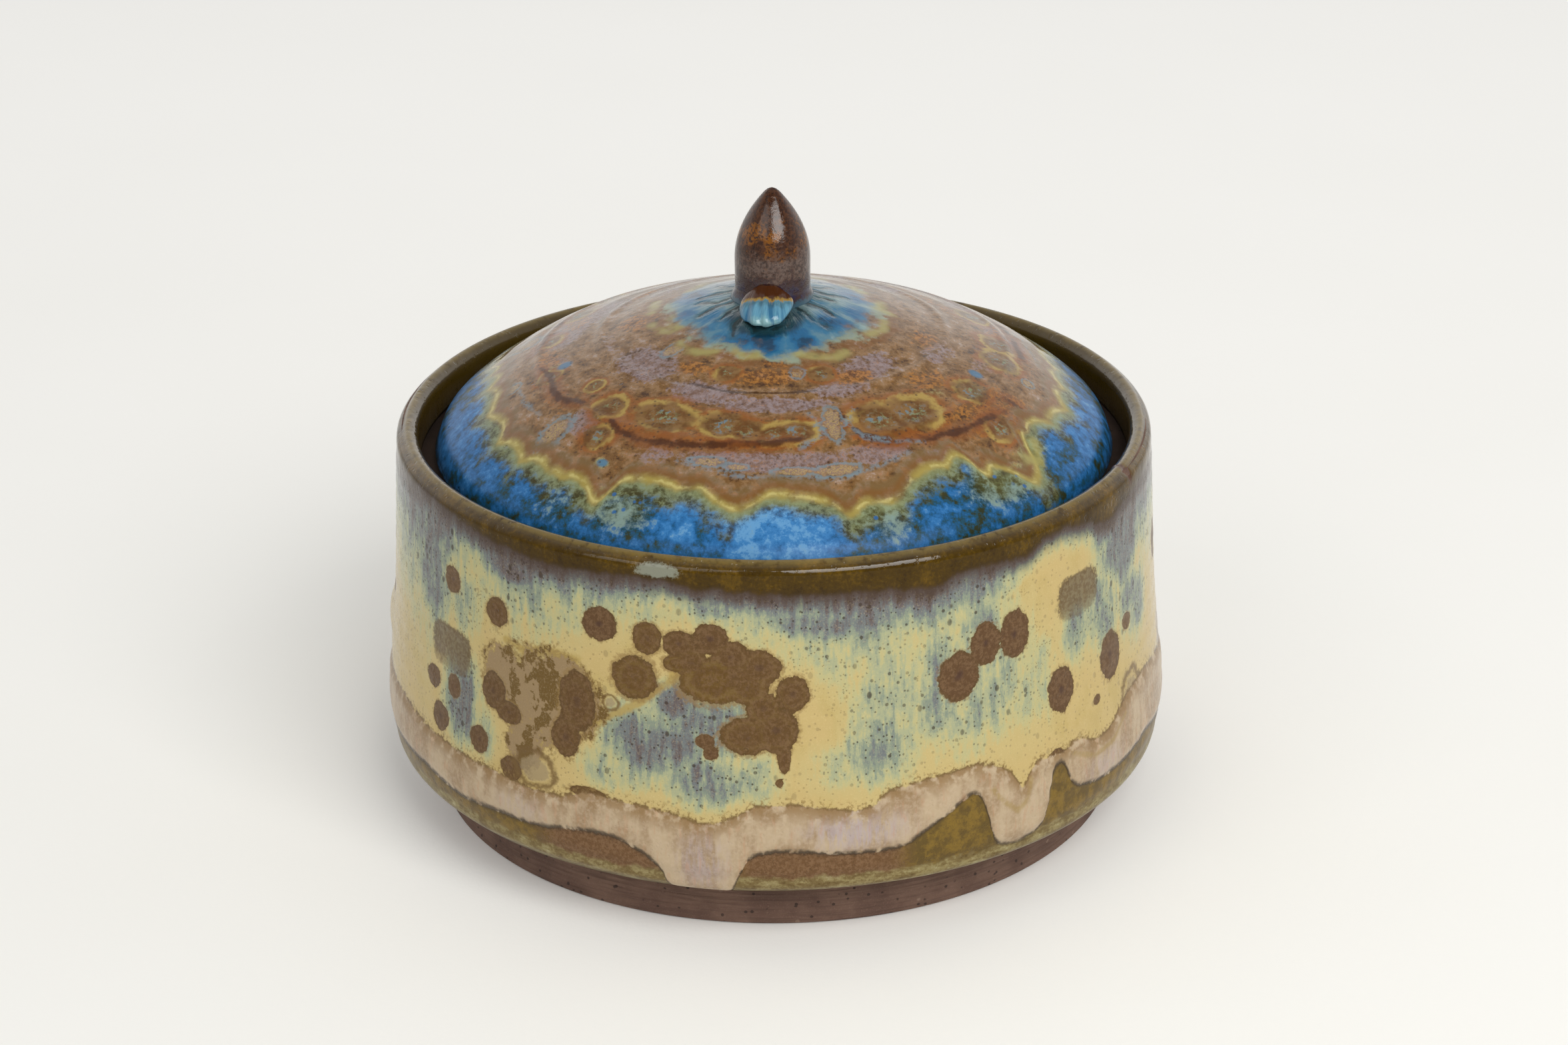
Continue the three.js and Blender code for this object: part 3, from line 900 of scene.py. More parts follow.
# Lines around the lid, as (turn, radius).
SKIRT_EDGE = [
    (-180, 44), (-172, 44.5), (-163, 45.2), (-155, 46), (-148, 46.9), (-142, 46.3), (-136.5, 47.3),
    (-132, 46), (-127.6, 46.9), (-122.4, 49), (-120.4, 44.9), (-115.5, 44.6), (-109.7, 44.3),
    (-104, 44.4), (-101.7, 45.8), (-98, 46.5), (-94.4, 46.6), (-92, 45.4), (-88, 44.7), (-85.5, 44.9),
    (-82.9, 45.9), (-78.5, 46.6), (-76.3, 48.2), (-73.2, 47), (-69.6, 47.2), (-66.2, 46), (-61.4, 44.7),
    (-56.3, 43.8), (-51.3, 43.4), (-49, 44.4), (-48, 48.2), (-46.4, 45.4), (-42.9, 47.6), (-39.5, 49.8),
    (-35.7, 50), (-33.7, 46.4), (-31.6, 43.8), (-25, 44.5), (-15, 46), (-5, 45), (10, 44.2), (24, 46.5),
    (40, 44.6), (55, 47), (70, 45), (90, 46.4), (106, 44.4), (122, 47), (140, 45), (160, 46.4),
]
COLLAR_EDGE = [
    (-180, 17), (-168, 17.5), (-150, 16.5), (-135, 17.2), (-126, 18), (-117, 16.6), (-110, 17.5),
    (-104, 18.4), (-98, 17.4), (-93, 19.2), (-88, 19.6), (-82, 19), (-76, 18.6), (-70, 17.8),
    (-64, 18.2), (-56, 17), (-45, 16.5), (-30, 17.2), (-17, 17.4), (0, 16.5), (30, 17.5), (60, 17),
    (90, 18), (120, 16.8), (150, 18.4),
]
# Cells with a yellow ring: turn, radius, half width, half depth.
CELLS = [
    (-90, 35.3, 3.4, 2.8), (-84.5, 35, 4.4, 2.9), (-103, 33.8, 4.2, 3.1), (-97, 34.6, 3.2, 2.6),
    (-119, 33.6, 6, 3.7), (-135.2, 34.8, 3.3, 3.2), (-146.8, 32.6, 1.9, 1.9), (-62.5, 34.6, 5.6, 4.4),
    (-52.5, 34.8, 5.8, 4.2), (-31.3, 35.4, 3.6, 3.2), (-131.2, 40, 3, 2.6), (-108, 22.6, 2.4, 2),
    (-72, 23, 2.4, 2), (-36, 42.4, 3.6, 2.6),
]
# Pale patches where the purple glaze broke.
BREAKS = [
    (-74.2, 32.4, 1.3, 1.8), (-75.2, 35.4, 1.2, 1.8), (-75, 33.8, 2, 0.8), (-142.2, 41.9, 1.8, 2.7),
    (-86, 41.9, 2.8, 0.6), (-77, 42.1, 3.2, 0.9), (-97.5, 41.2, 1.6, 0.5), (-103.5, 40.6, 2.6, 0.7),
    (-80.5, 22.3, 1, 1.2), (-139, 20.5, 1.2, 1.8),
]
# Areas on the lid: turn, radius, half width (degrees), half depth, strength.
MAUVE = [
    (-141, 25, 20, 4.6, 1), (-112, 27.5, 16, 3.2, 1), (-90, 29.3, 22, 2.2, 1),
    (-52, 23.6, 18, 3.6, 0.9), (-68, 27, 14, 2.6, 0.8), (-92, 40.2, 26, 2.2, 1),
    (-67, 40, 10, 2.6, 0.9), (-138, 39, 8, 3, 0.8), (-20, 27, 14, 3, 0.7), (-115, 41, 8, 2.5, 0.6),
    (-168, 26, 12, 3, 0.5), (-55, 42.5, 8, 1.6, 0.8),
]
RUST = [
    (-92, 23, 20, 2.6, 1), (-122, 22.6, 9, 2.4, 0.9), (-60, 24.8, 10, 2.2, 0.9),
    (-34, 42, 12, 4, 1), (-131, 40.2, 5, 3, 0.9), (-58, 37.6, 18, 2.4, 0.9),
    (-98, 36.6, 20, 2, 0.8), (-35, 38, 14, 3, 0.9), (-88, 19.8, 10, 1.6, 1), (-38, 30, 10, 3, 0.8),
    (-25, 41, 4, 4, 1), (-150, 38, 12, 3, 0.4), (-128, 37, 10, 2, 0.6),
]
GREEN = [
    (-117, 49.5, 7, 3, 0.7), (-130, 50, 7, 3, 0.4), (-45, 49, 11, 3.2, 0.9), (-70, 50, 5, 3, 0.6),
    (-31.3, 35.2, 6, 3, 1), (-52.4, 34.8, 4, 2, 0.6), (-34, 47.2, 5, 2.2, 1),
    (-126, 43.6, 3, 1.2, 0.8), (-49, 47.5, 3, 2.8, 0.9), (-121.5, 47.5, 3, 1.6, 1),
    (-73, 49, 6, 2, 0.8), (-42, 33, 5, 2.2, 0.6),
]
BLUE_SPOTS = [
    (-22.4, 33.8, 1.3, 1.5), (-125.8, 43.6, 1.3, 0.8), (-165.5, 33.5, 1.4, 1.6), (-30, 46.5, 1.2, 1),
]
# Wandering lines, each a row of (turn, radius).
YELLOW_RUNS = [
    [(-172, 16), (-163, 17.2), (-155, 16.2)], [(-140, 18.6), (-134, 19.6), (-126, 19.2), (-119, 18.2)],
    [(-109, 17.4), (-104, 18.5), (-98, 18)], [(-77, 17.8), (-69, 19.2), (-62, 20), (-55, 19.4)],
    [(-32, 17.6), (-22, 18.4), (-12, 17.8)], [(-38, 46.6), (-34, 48.6), (-31, 46.4)],
]
RUST_RUNS = [
    [(-131, 37), (-128.8, 37.9), (-121, 38.8), (-113, 38.2), (-105.3, 37.9), (-97.7, 37.3), (-90, 37.1),
     (-84, 36.4)],
    [(-70, 35.5), (-69, 36.9), (-62, 39), (-53.4, 39.9), (-44.5, 40.3), (-36.3, 40.3), (-30, 41)],
    [(-25, 39.5), (-25.2, 42.5), (-28, 44.5)],
]
DARK_RUNS = [[(-118, 26), (-105, 26.8), (-95, 26.6), (-85, 26.8), (-76, 26.6)]]
BLUE_RUNS = [
    [(-80.5, 31.2), (-77.6, 33.6), (-78.8, 36.4), (-84, 38)],
    [(-67.5, 31.2), (-71, 34), (-69, 37.2), (-62, 38.8), (-56, 40)],
    [(-110, 41), (-104, 41.8), (-96, 42.7), (-86, 43), (-77, 43.4), (-70, 42.4), (-60, 41.2)],
    [(-146, 40), (-145.5, 43), (-141, 44.6), (-138.5, 43)],
]


def on_the_far_lid(count, radii, sizes, *extra):
    """More places for the half of the lid that faces away."""
    made = []
    for turn in np.linspace(-12, 192, count):
        half = rng.uniform(*sizes)
        place = (turn + rng.uniform(-5, 5), rng.uniform(*radii), half, half * rng.uniform(0.7, 1.1))
        made.append((*place, *[rng.uniform(a, b) for a, b in extra]))
    return made


def far_runs(count, radii, reach):
    """Wandering lines round the half of the lid that faces away."""
    made = []
    for turn in np.linspace(0, 190, count):
        radius = rng.uniform(*radii)
        steps = np.linspace(0, reach, 5)
        made.append([(turn + step, radius + rng.uniform(-0.9, 0.9)) for step in steps])
    return made


CELLS += on_the_far_lid(13, (33.5, 36.5), (2.2, 4.6))
BREAKS += on_the_far_lid(8, (40, 43), (0.8, 2.2))
MAUVE += [(t, r, 3.4 * w, h, k) for t, r, w, h, k in on_the_far_lid(12, (22, 42), (3.0, 5.5), (0.6, 1.0))]
RUST += [(t, r, 3.0 * w, h, k) for t, r, w, h, k in on_the_far_lid(16, (20, 43), (2.4, 4.5), (0.6, 1.0))]
GREEN += [(t, r, 1.6 * w, h, k) for t, r, w, h, k in on_the_far_lid(7, (33, 48), (2.0, 3.5), (0.6, 1.0))]
YELLOW_RUNS += far_runs(7, (17, 19.5), 16)
RUST_RUNS += far_runs(6, (36.5, 40), 26)
BLUE_RUNS += far_runs(5, (41, 43), 20)

# Dark creases that run out from the foot of the knob.
CREASES = [
    [(-122, 6), (-117, 8.6), (-121, 11.5), (-116, 14)], [(-134, 6), (-140, 8.4), (-137, 11)],
    [(-112, 10.6), (-103, 12.2), (-92, 12), (-82, 11.2)], [(-76, 6.2), (-73, 8.6), (-78, 11)],
    [(-58, 6), (-52, 8), (-54, 10.6), (-49, 13)], [(-36, 6), (-30, 8.8), (-33, 11)],
    [(-152, 6), (-160, 9), (-157, 12.4)], [(-12, 6.2), (-8, 9.4)],
]
for start in range(10, 190, 22):
    CREASES.append([(start, 6), (start + rng.uniform(-8, 8), 8.8), (start + rng.uniform(-6, 6), 11.6)])

# A fan of glaze below the drop, which swells the lid and is painted near-black teal as the drop's shadow:
# turn, radius, half width, half depth.
FAN_AND_SHADE = (-98, 9.6, 5.2, 3.2)

# Deep blue lobes of the collar, and where the skirt is a milky light blue.
LOBES = [
    (-112, 14.5, 15, 4, 0.8), (-94, 14.5, 13, 4.5, 1), (-73, 14.5, 11, 4.5, 1),
    (-45, 12, 20, 3.5, 0.7), (-140, 11, 22, 3, 0.5),
]
LOBES += [(t, 13.5, 5 * w, h, k) for t, _, w, h, k in on_the_far_lid(7, (13, 14), (2.5, 4), (0.4, 0.9))]
MILKY = [
    (-90, 50.5, 16, 5, 1), (-106, 49, 6, 3.5, 0.8), (-145, 50, 14, 5, 0.1), (-172, 49, 12, 5, 0.5),
    (-10, 50, 18, 4, 0.2),
]
MILKY += [(t, 50, 4 * w, 5, k) for t, _, w, _, k in on_the_far_lid(5, (49, 51), (2.5, 5), (0.5, 1))]

# Rows of colours from dark to pale.
BROWN_GROUND = [(0.38, "452910"), (0.46, "74532c"), (0.54, "8d6d4a"), (0.64, "a9968a")]
SKIRT_GLAZE = [
    (0.0, "2e331c"), (0.16, "1f4a5c"), (0.32, "1c5684"), (0.5, "2868a2"), (0.75, "3a7bb6"), (1.0, "6198c6"),
]
# The collar's own deep blues, with pale teal-grey stops that are partly a painted sky reflection.
COLLAR_GLAZE_AND_REFLECTION = [
    (0.24, "0a3a58"), (0.34, "145e8a"), (0.44, "2f6e92"), (0.54, "567f92"), (0.66, "7f9a9c"),
]


# Ridges thrown on the lid: radius, rise and half width.
LID_RIDGES = [(27.3, 0.22, 0.8), (37.2, 0.30, 0.9)]


def scallops(turn):
    """Rounded lobes whose cusps point at the rim, to add to the skirt's line."""
    stretch = 3.0 * ripple(turn, 0 * turn, 39, 40, 9)
    depth = 1.2 + 0.9 * ripple(turn, 0 * turn, 41, 30, 7)
    return 0.5 - depth * np.abs(np.sin(18 * np.radians(turn) + stretch))


def lid_unevenness(turn, radius, height):
    """Throwing rings, a swollen collar of glaze round the knob and a wavy thick skirt."""
    rings = 0.06 * np.sin(radius * 0.62 + 0.5)
    rings += 0.03 * np.sin(radius * 1.45 + 0.8 * ripple(turn, radius, 31))
    ridge = 0 * radius
    for seed, (middle, rise, half) in zip((33, 35), LID_RIDGES):
        ridge += rise * np.exp(-(((radius - middle - 0.5 * ripple(turn, radius, seed)) / half) ** 2))
    skirt = 0.22 * soft(radius - wavy(SKIRT_EDGE, turn), -0.5, 2.5) * soft(radius, 54, 52)
    collar = 0.5 * soft(radius, 14, 7) * (0.6 + 0.9 * ripple(turn, 0 * radius, 37, 60, 9))
    fan = 0.3 * soft(disc_field(turn, radius, radius, [FAN_AND_SHADE])[0], -0.05, 0.4)
    return rings + ridge + skirt + collar + fan - 0.25, 0 * height


def lid_coat():
    """The glaze on the dome."""
    dome = smooth(DOME_PLACES, 150)
    outline = np.vstack([dome, offset(smooth(DOME_PLACES, 24), GLAZE - SEAM)[::-1]])
    obj = turned("lid_glaze_coat", outline, steps=512, move=lid_unevenness)
    turn, radius = places_of(obj)[:2]
    flat = on_lid(turn, radius)
    store(
        obj,
        skirt=radius - wavy(SKIRT_EDGE, turn, 1.2) - scallops(turn),
        collar=wavy(COLLAR_EDGE, turn, 2.0) - radius,
        cell=disc_field(turn, radius, radius, CELLS)[0],
        gap=disc_field(turn, radius, radius, BREAKS)[0],
        blue_spot=disc_field(turn, radius, radius, BLUE_SPOTS)[0],
        mauve=area_field(turn, radius, MAUVE),
        rust=area_field(turn, radius, RUST),
        green=area_field(turn, radius, GREEN),
        yellow_run=stroke_field(flat, YELLOW_RUNS, on_lid),
        rust_run=stroke_field(flat, RUST_RUNS, on_lid),
        dark_run=stroke_field(flat, DARK_RUNS, on_lid),
        blue_run=stroke_field(flat, BLUE_RUNS, on_lid),
        crease=stroke_field(flat, CREASES, on_lid),
        lobe=area_field(turn, radius, LOBES),
        fan=disc_field(turn, radius, radius, [FAN_AND_SHADE])[0],
        milky=area_field(turn, radius, MILKY),
    )
    finish_piece(obj, "lid", "lid_glaze", lid_glaze())


def lid_glaze():
    """Rust-brown and mauve glaze with ringed cells, a blue skirt and a blue collar."""
    g = Glaze("lid_glaze")
    grain = g.noise(0.28, detail=3, rough=0.65)
    crumbs = g.noise(0.8, detail=4, rough=0.65)
    wobble = g.noise(2.2, detail=4, rough=0.6)
    blotch = g.noise(6, detail=3)
    outward = g.polar(22, 0.35)
    rays = g.noise(3.4, detail=4, rough=0.6, place=outward)
    fine_rays = g.noise(1.1, detail=4, rough=0.6, place=outward)
    around = g.polar(14, 1.0)
    swirl = g.noise(1.6, detail=5, rough=0.65, place=around)

    # A brown ground that turns mauve, rust or green.
    ground = swirl * 0.35 + wobble * 0.4 + crumbs * 0.25
    colour = ground.colours(BROWN_GROUND)
    mauve = g.field("mauve") + swirl.sway(1.6) + crumbs.sway(1.2)
    mauve_colour = crumbs.two_tone(0.36, 0.64, "755c52", "908184")
    colour.lay(mauve.ramp(0.4, 0.75) * 0.9, mauve_colour)
    colour.lay(mauve.ramp(0.6, 0.9) * grain.ramp(0.52, 0.7) * 0.25, "9a8f96")
    rust = g.field("rust") + swirl.sway(1.6) + crumbs.sway(2.0)
    rust_colour = crumbs.two_tone(0.4, 0.62, "5a3412", "a8702c")
    colour.lay(rust.ramp(0.4, 0.8) * 0.85, rust_colour)
    freckle = g.noise(0.5, detail=4, rough=0.7)
    inside = g.radius.ramp(43, 41) * g.radius.ramp(17, 19)
    colour.lay(freckle.ramp(0.55, 0.66) * swirl.ramp(0.42, 0.58) * inside * 0.4, "b07628")
    colour.lay(freckle.ramp(0.43, 0.34) * inside * 0.5, "3a2218")
    green = g.field("green") + crumbs.sway(1.2) + wobble.sway(0.6)
    green_colour = crumbs.two_tone(0.42, 0.6, "6f6f42", "9a9c6c")
    colour.lay(green.ramp(0.4, 0.8) * 0.85, green_colour)
    colour.lay(g.radius.ramp(30, 34) * crumbs.ramp(0.56, 0.66) * 0.6, "93602a")

    # Cells with a glowing yellow ring, a brown body and a speckled heart.
    cell = g.field("cell") + wobble.sway(0.7) + crumbs.sway(0.25)
    body = (wobble * 0.6 + swirl * 0.4).two_tone(0.42, 0.58, "59390c", "7e6238")
    colour.lay(cell.ramp(-0.4, 0.05) * swirl.ramp(0.36, 0.52) * 0.8, "8a4e14")
    colour.lay(cell.ramp(0.0, 0.25) * 0.8, body)
    colour.lay(cell.bell(0.2, 0.24) * blotch.ramp(0.4, 0.56) * 0.8, "b0964e")
    star = cell.ramp(0.45, 0.85) * crumbs.ramp(0.48, 0.58)
    colour.lay(star * 0.75, wobble.two_tone(0.45, 0.6, "838f68", "5f8294"))
    colour.lay(g.field("blue_spot").ramp(0.0, 0.5) * 0.85, "3f7396")

    # Wandering lines.
    line = wobble.sway(1.6) + crumbs.sway(0.6)
    rust_run = g.field("rust_run") + line
    colour.lay(rust_run.ramp(2.4, 0.3) * swirl.ramp(0.34, 0.52) * 0.7, "7c4416")
    colour.lay(rust_run.ramp(0.8, 0.2) * blotch.ramp(0.3, 0.46) * 0.85, "42200a")
    dark_run = g.field("dark_run") + crumbs.sway(0.8)
    colour.lay(dark_run.ramp(0.5, 0.1) * 0.7, "35221c")
    blue_run = g.field("blue_run") + line
    colour.lay(blue_run.ramp(0.7, 0.0) * crumbs.ramp(0.38, 0.55) * 0.75, "71828c")
    gap = g.field("gap") + crumbs.sway(1.4)
    colour.lay(gap.bell(-0.15, 0.35) * 0.7, "6f8690")
    gap_colour = grain.two_tone(0.4, 0.6, "ab9464", "8a7468")
    colour.lay(gap.ramp(0.0, 0.4) * 0.8, gap_colour)
    colour.lay(g.specks(0.9, 0.45, 0.3) * 0.55, "34241f")

    # Outside the cells: a smooth olive band, its glowing scalloped line, and the blue skirt.
    edge = wobble.sway(1.3) + crumbs.sway(0.3)
    skirt = g.field("skirt") + edge
    olive = wobble.two_tone(0.4, 0.62, "745b36", "85735e")
    colour.lay(skirt.ramp(-3.2, -2.0) * wobble.ramp(0.62, 0.5) * 0.9, olive)
    colour.lay(skirt.bell(-1.0, 1.1) * 0.6, "7b4f1e")
    frost = g.noise(1.3, detail=6, rough=0.72)
    cloud = g.noise(4.2, detail=4, rough=0.6)
    milky = g.field("milky") * 0.45 + cloud.sway(1.8) + frost.sway(1.8)
    blue = (milky + 0.28).colours(SKIRT_GLAZE)
    near = skirt + frost.sway(6.0) + cloud.sway(8.0)
    murk = frost.two_tone(0.4, 0.6, "3f3a1c", "7f8458")
    blue.lay(near.ramp(4.6, 1.6) * 0.85, murk)
    leaf = cloud * 0.45 + frost * 0.55
    weed = leaf.two_tone(0.42, 0.58, "55552c", "8c9c7e")
    weedy = g.field("green") + frost.sway(2.0) + cloud.sway(1.0)
    blue.lay(weedy.ramp(0.25, 0.8) * 0.75, weed)
    blue.lay(g.specks(1.5, 0.5, 0.3) * g.field("green").ramp(0.1, 0.5) * 0.8, "28609c")
    blue.lay(g.height.ramp(58.6, 57.6) * 0.5, "28251a")
    colour.lay(skirt.ramp(0.0, 1.3), blue)
    colour.lay(skirt.bell(1.2, 1.5) * cloud.ramp(0.36, 0.56) * 0.6, "8d9463")
    glow = skirt.ramp(-1.0, 0.25) * skirt.ramp(1.4, 0.25)
    colour.lay(glow * blotch.ramp(0.3, 0.54) * 0.85, "a39248")
    colour.lay(skirt.bell(0.3, 0.45) * wobble.ramp(0.4, 0.6) * 0.7, "c6ba78")

    # The collar of thick blue glaze round the knob, with its own yellow fringe; its pale teal-grey is
    # partly a painted sky reflection.
    collar = g.field("collar") + wobble.sway(6.0) + blotch.sway(9.0)
    depth = blotch * 0.45 + wobble * 0.35 + rays * 0.2
    sky = (depth + 0.05 - g.field("lobe") * 0.3).colours(COLLAR_GLAZE_AND_REFLECTION)
    fan = g.field("fan") + fine_rays.sway(0.5)
    # Painted shadow: near-black teal under and around the drop.
    sky.lay(fan.ramp(-0.5, 0.0) * 0.85, "0b2733")
    sky.lay(g.radius.ramp(8.8, 6.8) * rays.ramp(0.35, 0.6) * 0.6, "1c3842")
    sky.lay((rays - g.field("lobe") * 0.2).ramp(0.46, 0.62) * 0.45, "93a8a4")
    crease = g.field("crease") + wobble.sway(1.6) + crumbs.sway(0.4)
    sky.lay(crease.ramp(1.5, 0.3) * 0.5, "2b4a4c")
    sky.lay(crease.ramp(0.4, 0.1) * blotch.ramp(0.36, 0.5) * 0.8, "14201f")
    fringe = collar.bell(-1.6, 1.8) * wobble.ramp(0.38, 0.55)
    colour.lay(fringe * 0.75, "74491a")
    colour.lay(collar.ramp(-0.6, 3.0), sky)
    colour.lay(collar.bell(0.9, 1.6) * blotch.ramp(0.42, 0.58) * 0.7, "8fa088")
    yellow_run = g.field("yellow_run") + line
    colour.lay(yellow_run.ramp(1.5, 0.0) * blotch.ramp(0.3, 0.5) * 0.8, "a29a5c")

    rough = 0.06 + grain * 0.08 + skirt.ramp(1.0, 4.0) * 0.24
    relief = g.noise(4, detail=2) * 0.14
    relief += wobble * 0.05
    relief += grain * 0.004
    relief -= g.specks(3.6, 0.3, 0.11) * 0.2
    relief -= crease.ramp(0.9, 0.1) * g.radius.ramp(15, 12) * 0.14
    relief += rays * g.radius.ramp(15, 9) * 0.3
    gloss = 0.45 - skirt.ramp(1.0, 4.0) * 0.25
    return g.finish(colour, rough, relief, specular=gloss)


def lid_clay(clay):
    """The thrown dome under its glaze."""
    top = offset(smooth(DOME_PLACES, 30), GLAZE + 0.3)
    under = offset(smooth(DOME_PLACES, 60), DOME_THICKNESS)
    under = under[under[:, 0] < FLANGE_INNER - 1][::-1]
    edge = LID_RADIUS - GLAZE - 0.2
    outline = np.vstack([
        [(0, under[0, 1])],
        under,
        line((FLANGE_INNER, 59.3), (FLANGE_INNER, LID_SEAT), 4),
        line((FLANGE_INNER, LID_SEAT), (edge - 0.6, LID_SEAT), 6)[1:],
        [(edge, LID_SEAT + 0.6)],
        top,
        [(0, top[-1, 1])],
    ])
    obj = turned("lid_clay_dome", outline, steps=240)
    finish_piece(obj, "lid", "lid_dome", clay)


def locating_ring(clay):
    """The ring under the lid that keeps it centred in the gallery."""
    bevel = 0.9
    inner = FLANGE_INNER + SEAM
    top = LID_SEAT - SEAM
    outline = np.vstack([
        arc((inner + bevel, FLANGE_LOW + bevel), bevel, 180, 270, 5),
        arc((FLANGE_OUTER - bevel, FLANGE_LOW + bevel), bevel, -90, 0, 5),
        line((FLANGE_OUTER, FLANGE_LOW + bevel), (FLANGE_OUTER, top), 6)[1:],
        line((inner, top), (inner, FLANGE_LOW + bevel), 6)[:-1],
    ])
    obj = turned("lid_locating_ring", outline, steps=240)
    finish_piece(obj, "lid_ring", "lid_flange", clay)


# ----------------------------------------------------------------- the knob

def knob_side(count):
    """The glazed outline of the knob, from its foot to the tip."""
    t = np.linspace(0, 1, count)[:, None]
    start, pull = np.array([KNOB_RADIUS, KNOB_SHOULDER]), np.array([KNOB_RADIUS, KNOB_PULL])
    end = np.array([1.2, KNOB_TIP - 0.6])
    ogive = (1 - t) ** 2 * start + 2 * t * (1 - t) * pull + t ** 2 * end
    straight = line((KNOB_RADIUS, KNOB_FOOT), (KNOB_RADIUS, KNOB_SHOULDER), count // 2)
    tip = [(0.7, KNOB_TIP - 0.2), (0.3, KNOB_TIP - 0.04), (0, KNOB_TIP)]
    return np.vstack([straight, ogive[1:], tip])


def knob_unevenness(turn, radius, height):
    """A little wobble, and a flare where the glaze pools at the foot."""
    out = 0.05 * ripple(turn, height, 41, 4.0, 7) - 0.06
    flare = 0.9 * soft(height, 83.2, KNOB_FOOT - 0.4)
    return out + flare * (0.8 + 0.4 * ripple(turn, 0 * height, 43, 60, 9)), 0 * height


def knob_coat():
    """The glaze on the finial."""
    side = knob_side(60)
    inside = offset(knob_side(24), GLAZE - SEAM)
    inside = inside[inside[:, 0] > 0.35]
    outline = np.vstack([[(0, KNOB_TIP - GLAZE)], inside[::-1], side])
    obj = turned("knob_glaze_coat", outline, steps=160, move=knob_unevenness)
    finish_piece(obj, "lid", "knob_glaze", knob_glaze())


def knob_glaze():
    """Dark brown glaze with rust patches, a hazy waist and a purple foot."""
    g = Glaze("knob_glaze")
    wobble = g.noise(2.0, detail=5, rough=0.65)
    crumbs = g.noise(0.55, detail=4, rough=0.7)
    grain = g.noise(0.2, detail=2)
    colour = crumbs.two_tone(0.42, 0.6, "331a0c", "4c2c16")
    level = g.height + wobble.sway(12)
    patches = g.noise(3.2, detail=3).ramp(0.46, 0.56)
    rust = level.bell(91.8, 4.2) * crumbs.ramp(0.38, 0.52)
    colour.lay(rust * patches, "7c4a08")
    haze = level.bell(87.6, 3.0)
    colour.lay(haze * crumbs.ramp(0.35, 0.6) * 0.8, "64524a")
    base = wobble.two_tone(0.42, 0.6, "30120e", "221a38")
    colour.lay(level.ramp(86.2, 84.6), base)
    colour.lay(g.specks(0.5, 0.5, 0.34) * 0.7, "1d110c")
    colour.lay((g.height + crumbs.sway(2)).ramp(82.4, 81.6), "2b4c5c")
    relief = wobble * 0.12 + grain * 0.003
    relief -= g.specks(1.6, 0.25, 0.16) * 0.08
    return g.finish(colour, 0.07, relief, specular=0.5)


def drop_glaze():
    """Brown where it leaves the knob, then an amber edge and a combed light blue fringe."""
    g = Glaze("drop_glaze")
    combed = g.noise(3.0, detail=4, rough=0.65, place=g.polar(26, 0.3))
    crumbs = g.noise(0.8, detail=3)
    flow = g.field("flow") + crumbs.sway(0.16) + combed.sway(0.3)
    colour = combed.two_tone(0.38, 0.6, "2c6488", "5f95ae")
    colour.lay(flow.ramp(0.86, 1.0) * 0.6, "8fb4ae")
    colour.lay(flow.bell(0.6, 0.12) * 0.5, "2d4a4a")
    colour.lay(flow.ramp(0.57, 0.51), "947530")
    colour.lay(flow.ramp(0.5, 0.42), "45230b")
    return g.finish(colour, 0.05, combed * 0.12)


def glaze_drop():
    """A fat tongue of glaze that ran down the front of the knob and fanned out on the lid."""
    points, faces, flow = [], [], []
    rows, columns = 56, 64
    for i in range(rows):
        t = i / (rows - 1)
        closing = math.sin(math.pi * (0.04 + 0.96 * t)) ** 0.5 if t < 1 else 0.0
        out_here = KNOB_RADIUS + 0.1 + DROP_REACH * t ** 1.4
        up_here = DROP_TOP - DROP_FALL * t ** 0.9
        lean = math.atan2(DROP_FALL * 0.9 * max(t, 0.05) ** -0.1, DROP_REACH * 1.4 * t ** 0.4)
        wide = (3.3 + 1.7 * t) * closing
        thick = (0.8 + 1.0 * t) * closing
        for j in range(columns):
            sweep = 2 * math.pi * j / columns
            across = wide * math.sin(sweep)
            bulge = thick * math.cos(sweep) * (1 + 0.16 * t * math.sin(3.4 * across + 1))
            curl = (0.075 - 0.03 * t) * across ** 2
            scallop = 0.5 * t ** 3 * abs(math.sin(1.5 * across + 0.5))
            lift = t * (1.1 * float(soft(across, 2.4, 4.4)) - 0.5 * float(soft(-across, 1.5, 4.4)))
            out = out_here - curl + bulge * math.sin(lean) + scallop
            up = up_here + bulge * math.cos(lean) - 0.02 * across ** 2 + lift
            points.append((out, across, up))
            flow.append(t)
    for i in range(rows - 1):
        for j in range(columns):
            a, b = i * columns + j, i * columns + (j + 1) % columns
            faces.append((a, a + columns, b + columns, b))
    faces.append(tuple(range(columns)))
    turn = Matrix.Rotation(math.radians(DROP_TURN), 3, "Z")
    points = [turn @ Vector(p) for p in points]
    obj = mesh_object("glaze_drop_bead", points, faces)
    store(obj, flow=flow)
    weld(obj)
    finish_piece(obj, "lid", "glaze_drop", drop_glaze())


def weld(obj):
    """Merges the points that meet at a pole."""
    shape = bmesh.new()
    shape.from_mesh(obj.data)
    bmesh.ops.remove_doubles(shape, verts=shape.verts, dist=0.00001)
    bmesh.ops.recalc_face_normals(shape, faces=shape.faces)
    shape.to_mesh(obj.data)
    shape.free()


# --------------------------------------------------- floor, light and camera

# Strength of the room's light: as the camera sees it, and where it falls from.
BACKDROP = 0.88
NEAR_SIDE = 0.45
FAR_SIDE = 1.1
HORIZON = 0.9
OVERHEAD = 0.42
FLOOR_REACH = 6000.0
CAMERA_RISE = 24.04
CAMERA_DISTANCE = 538.4
CAMERA_AIM = (1.5, 0.0, 42.2)
CAMERA_ROLL = -0.42
CAMERA_LENS = 76.5


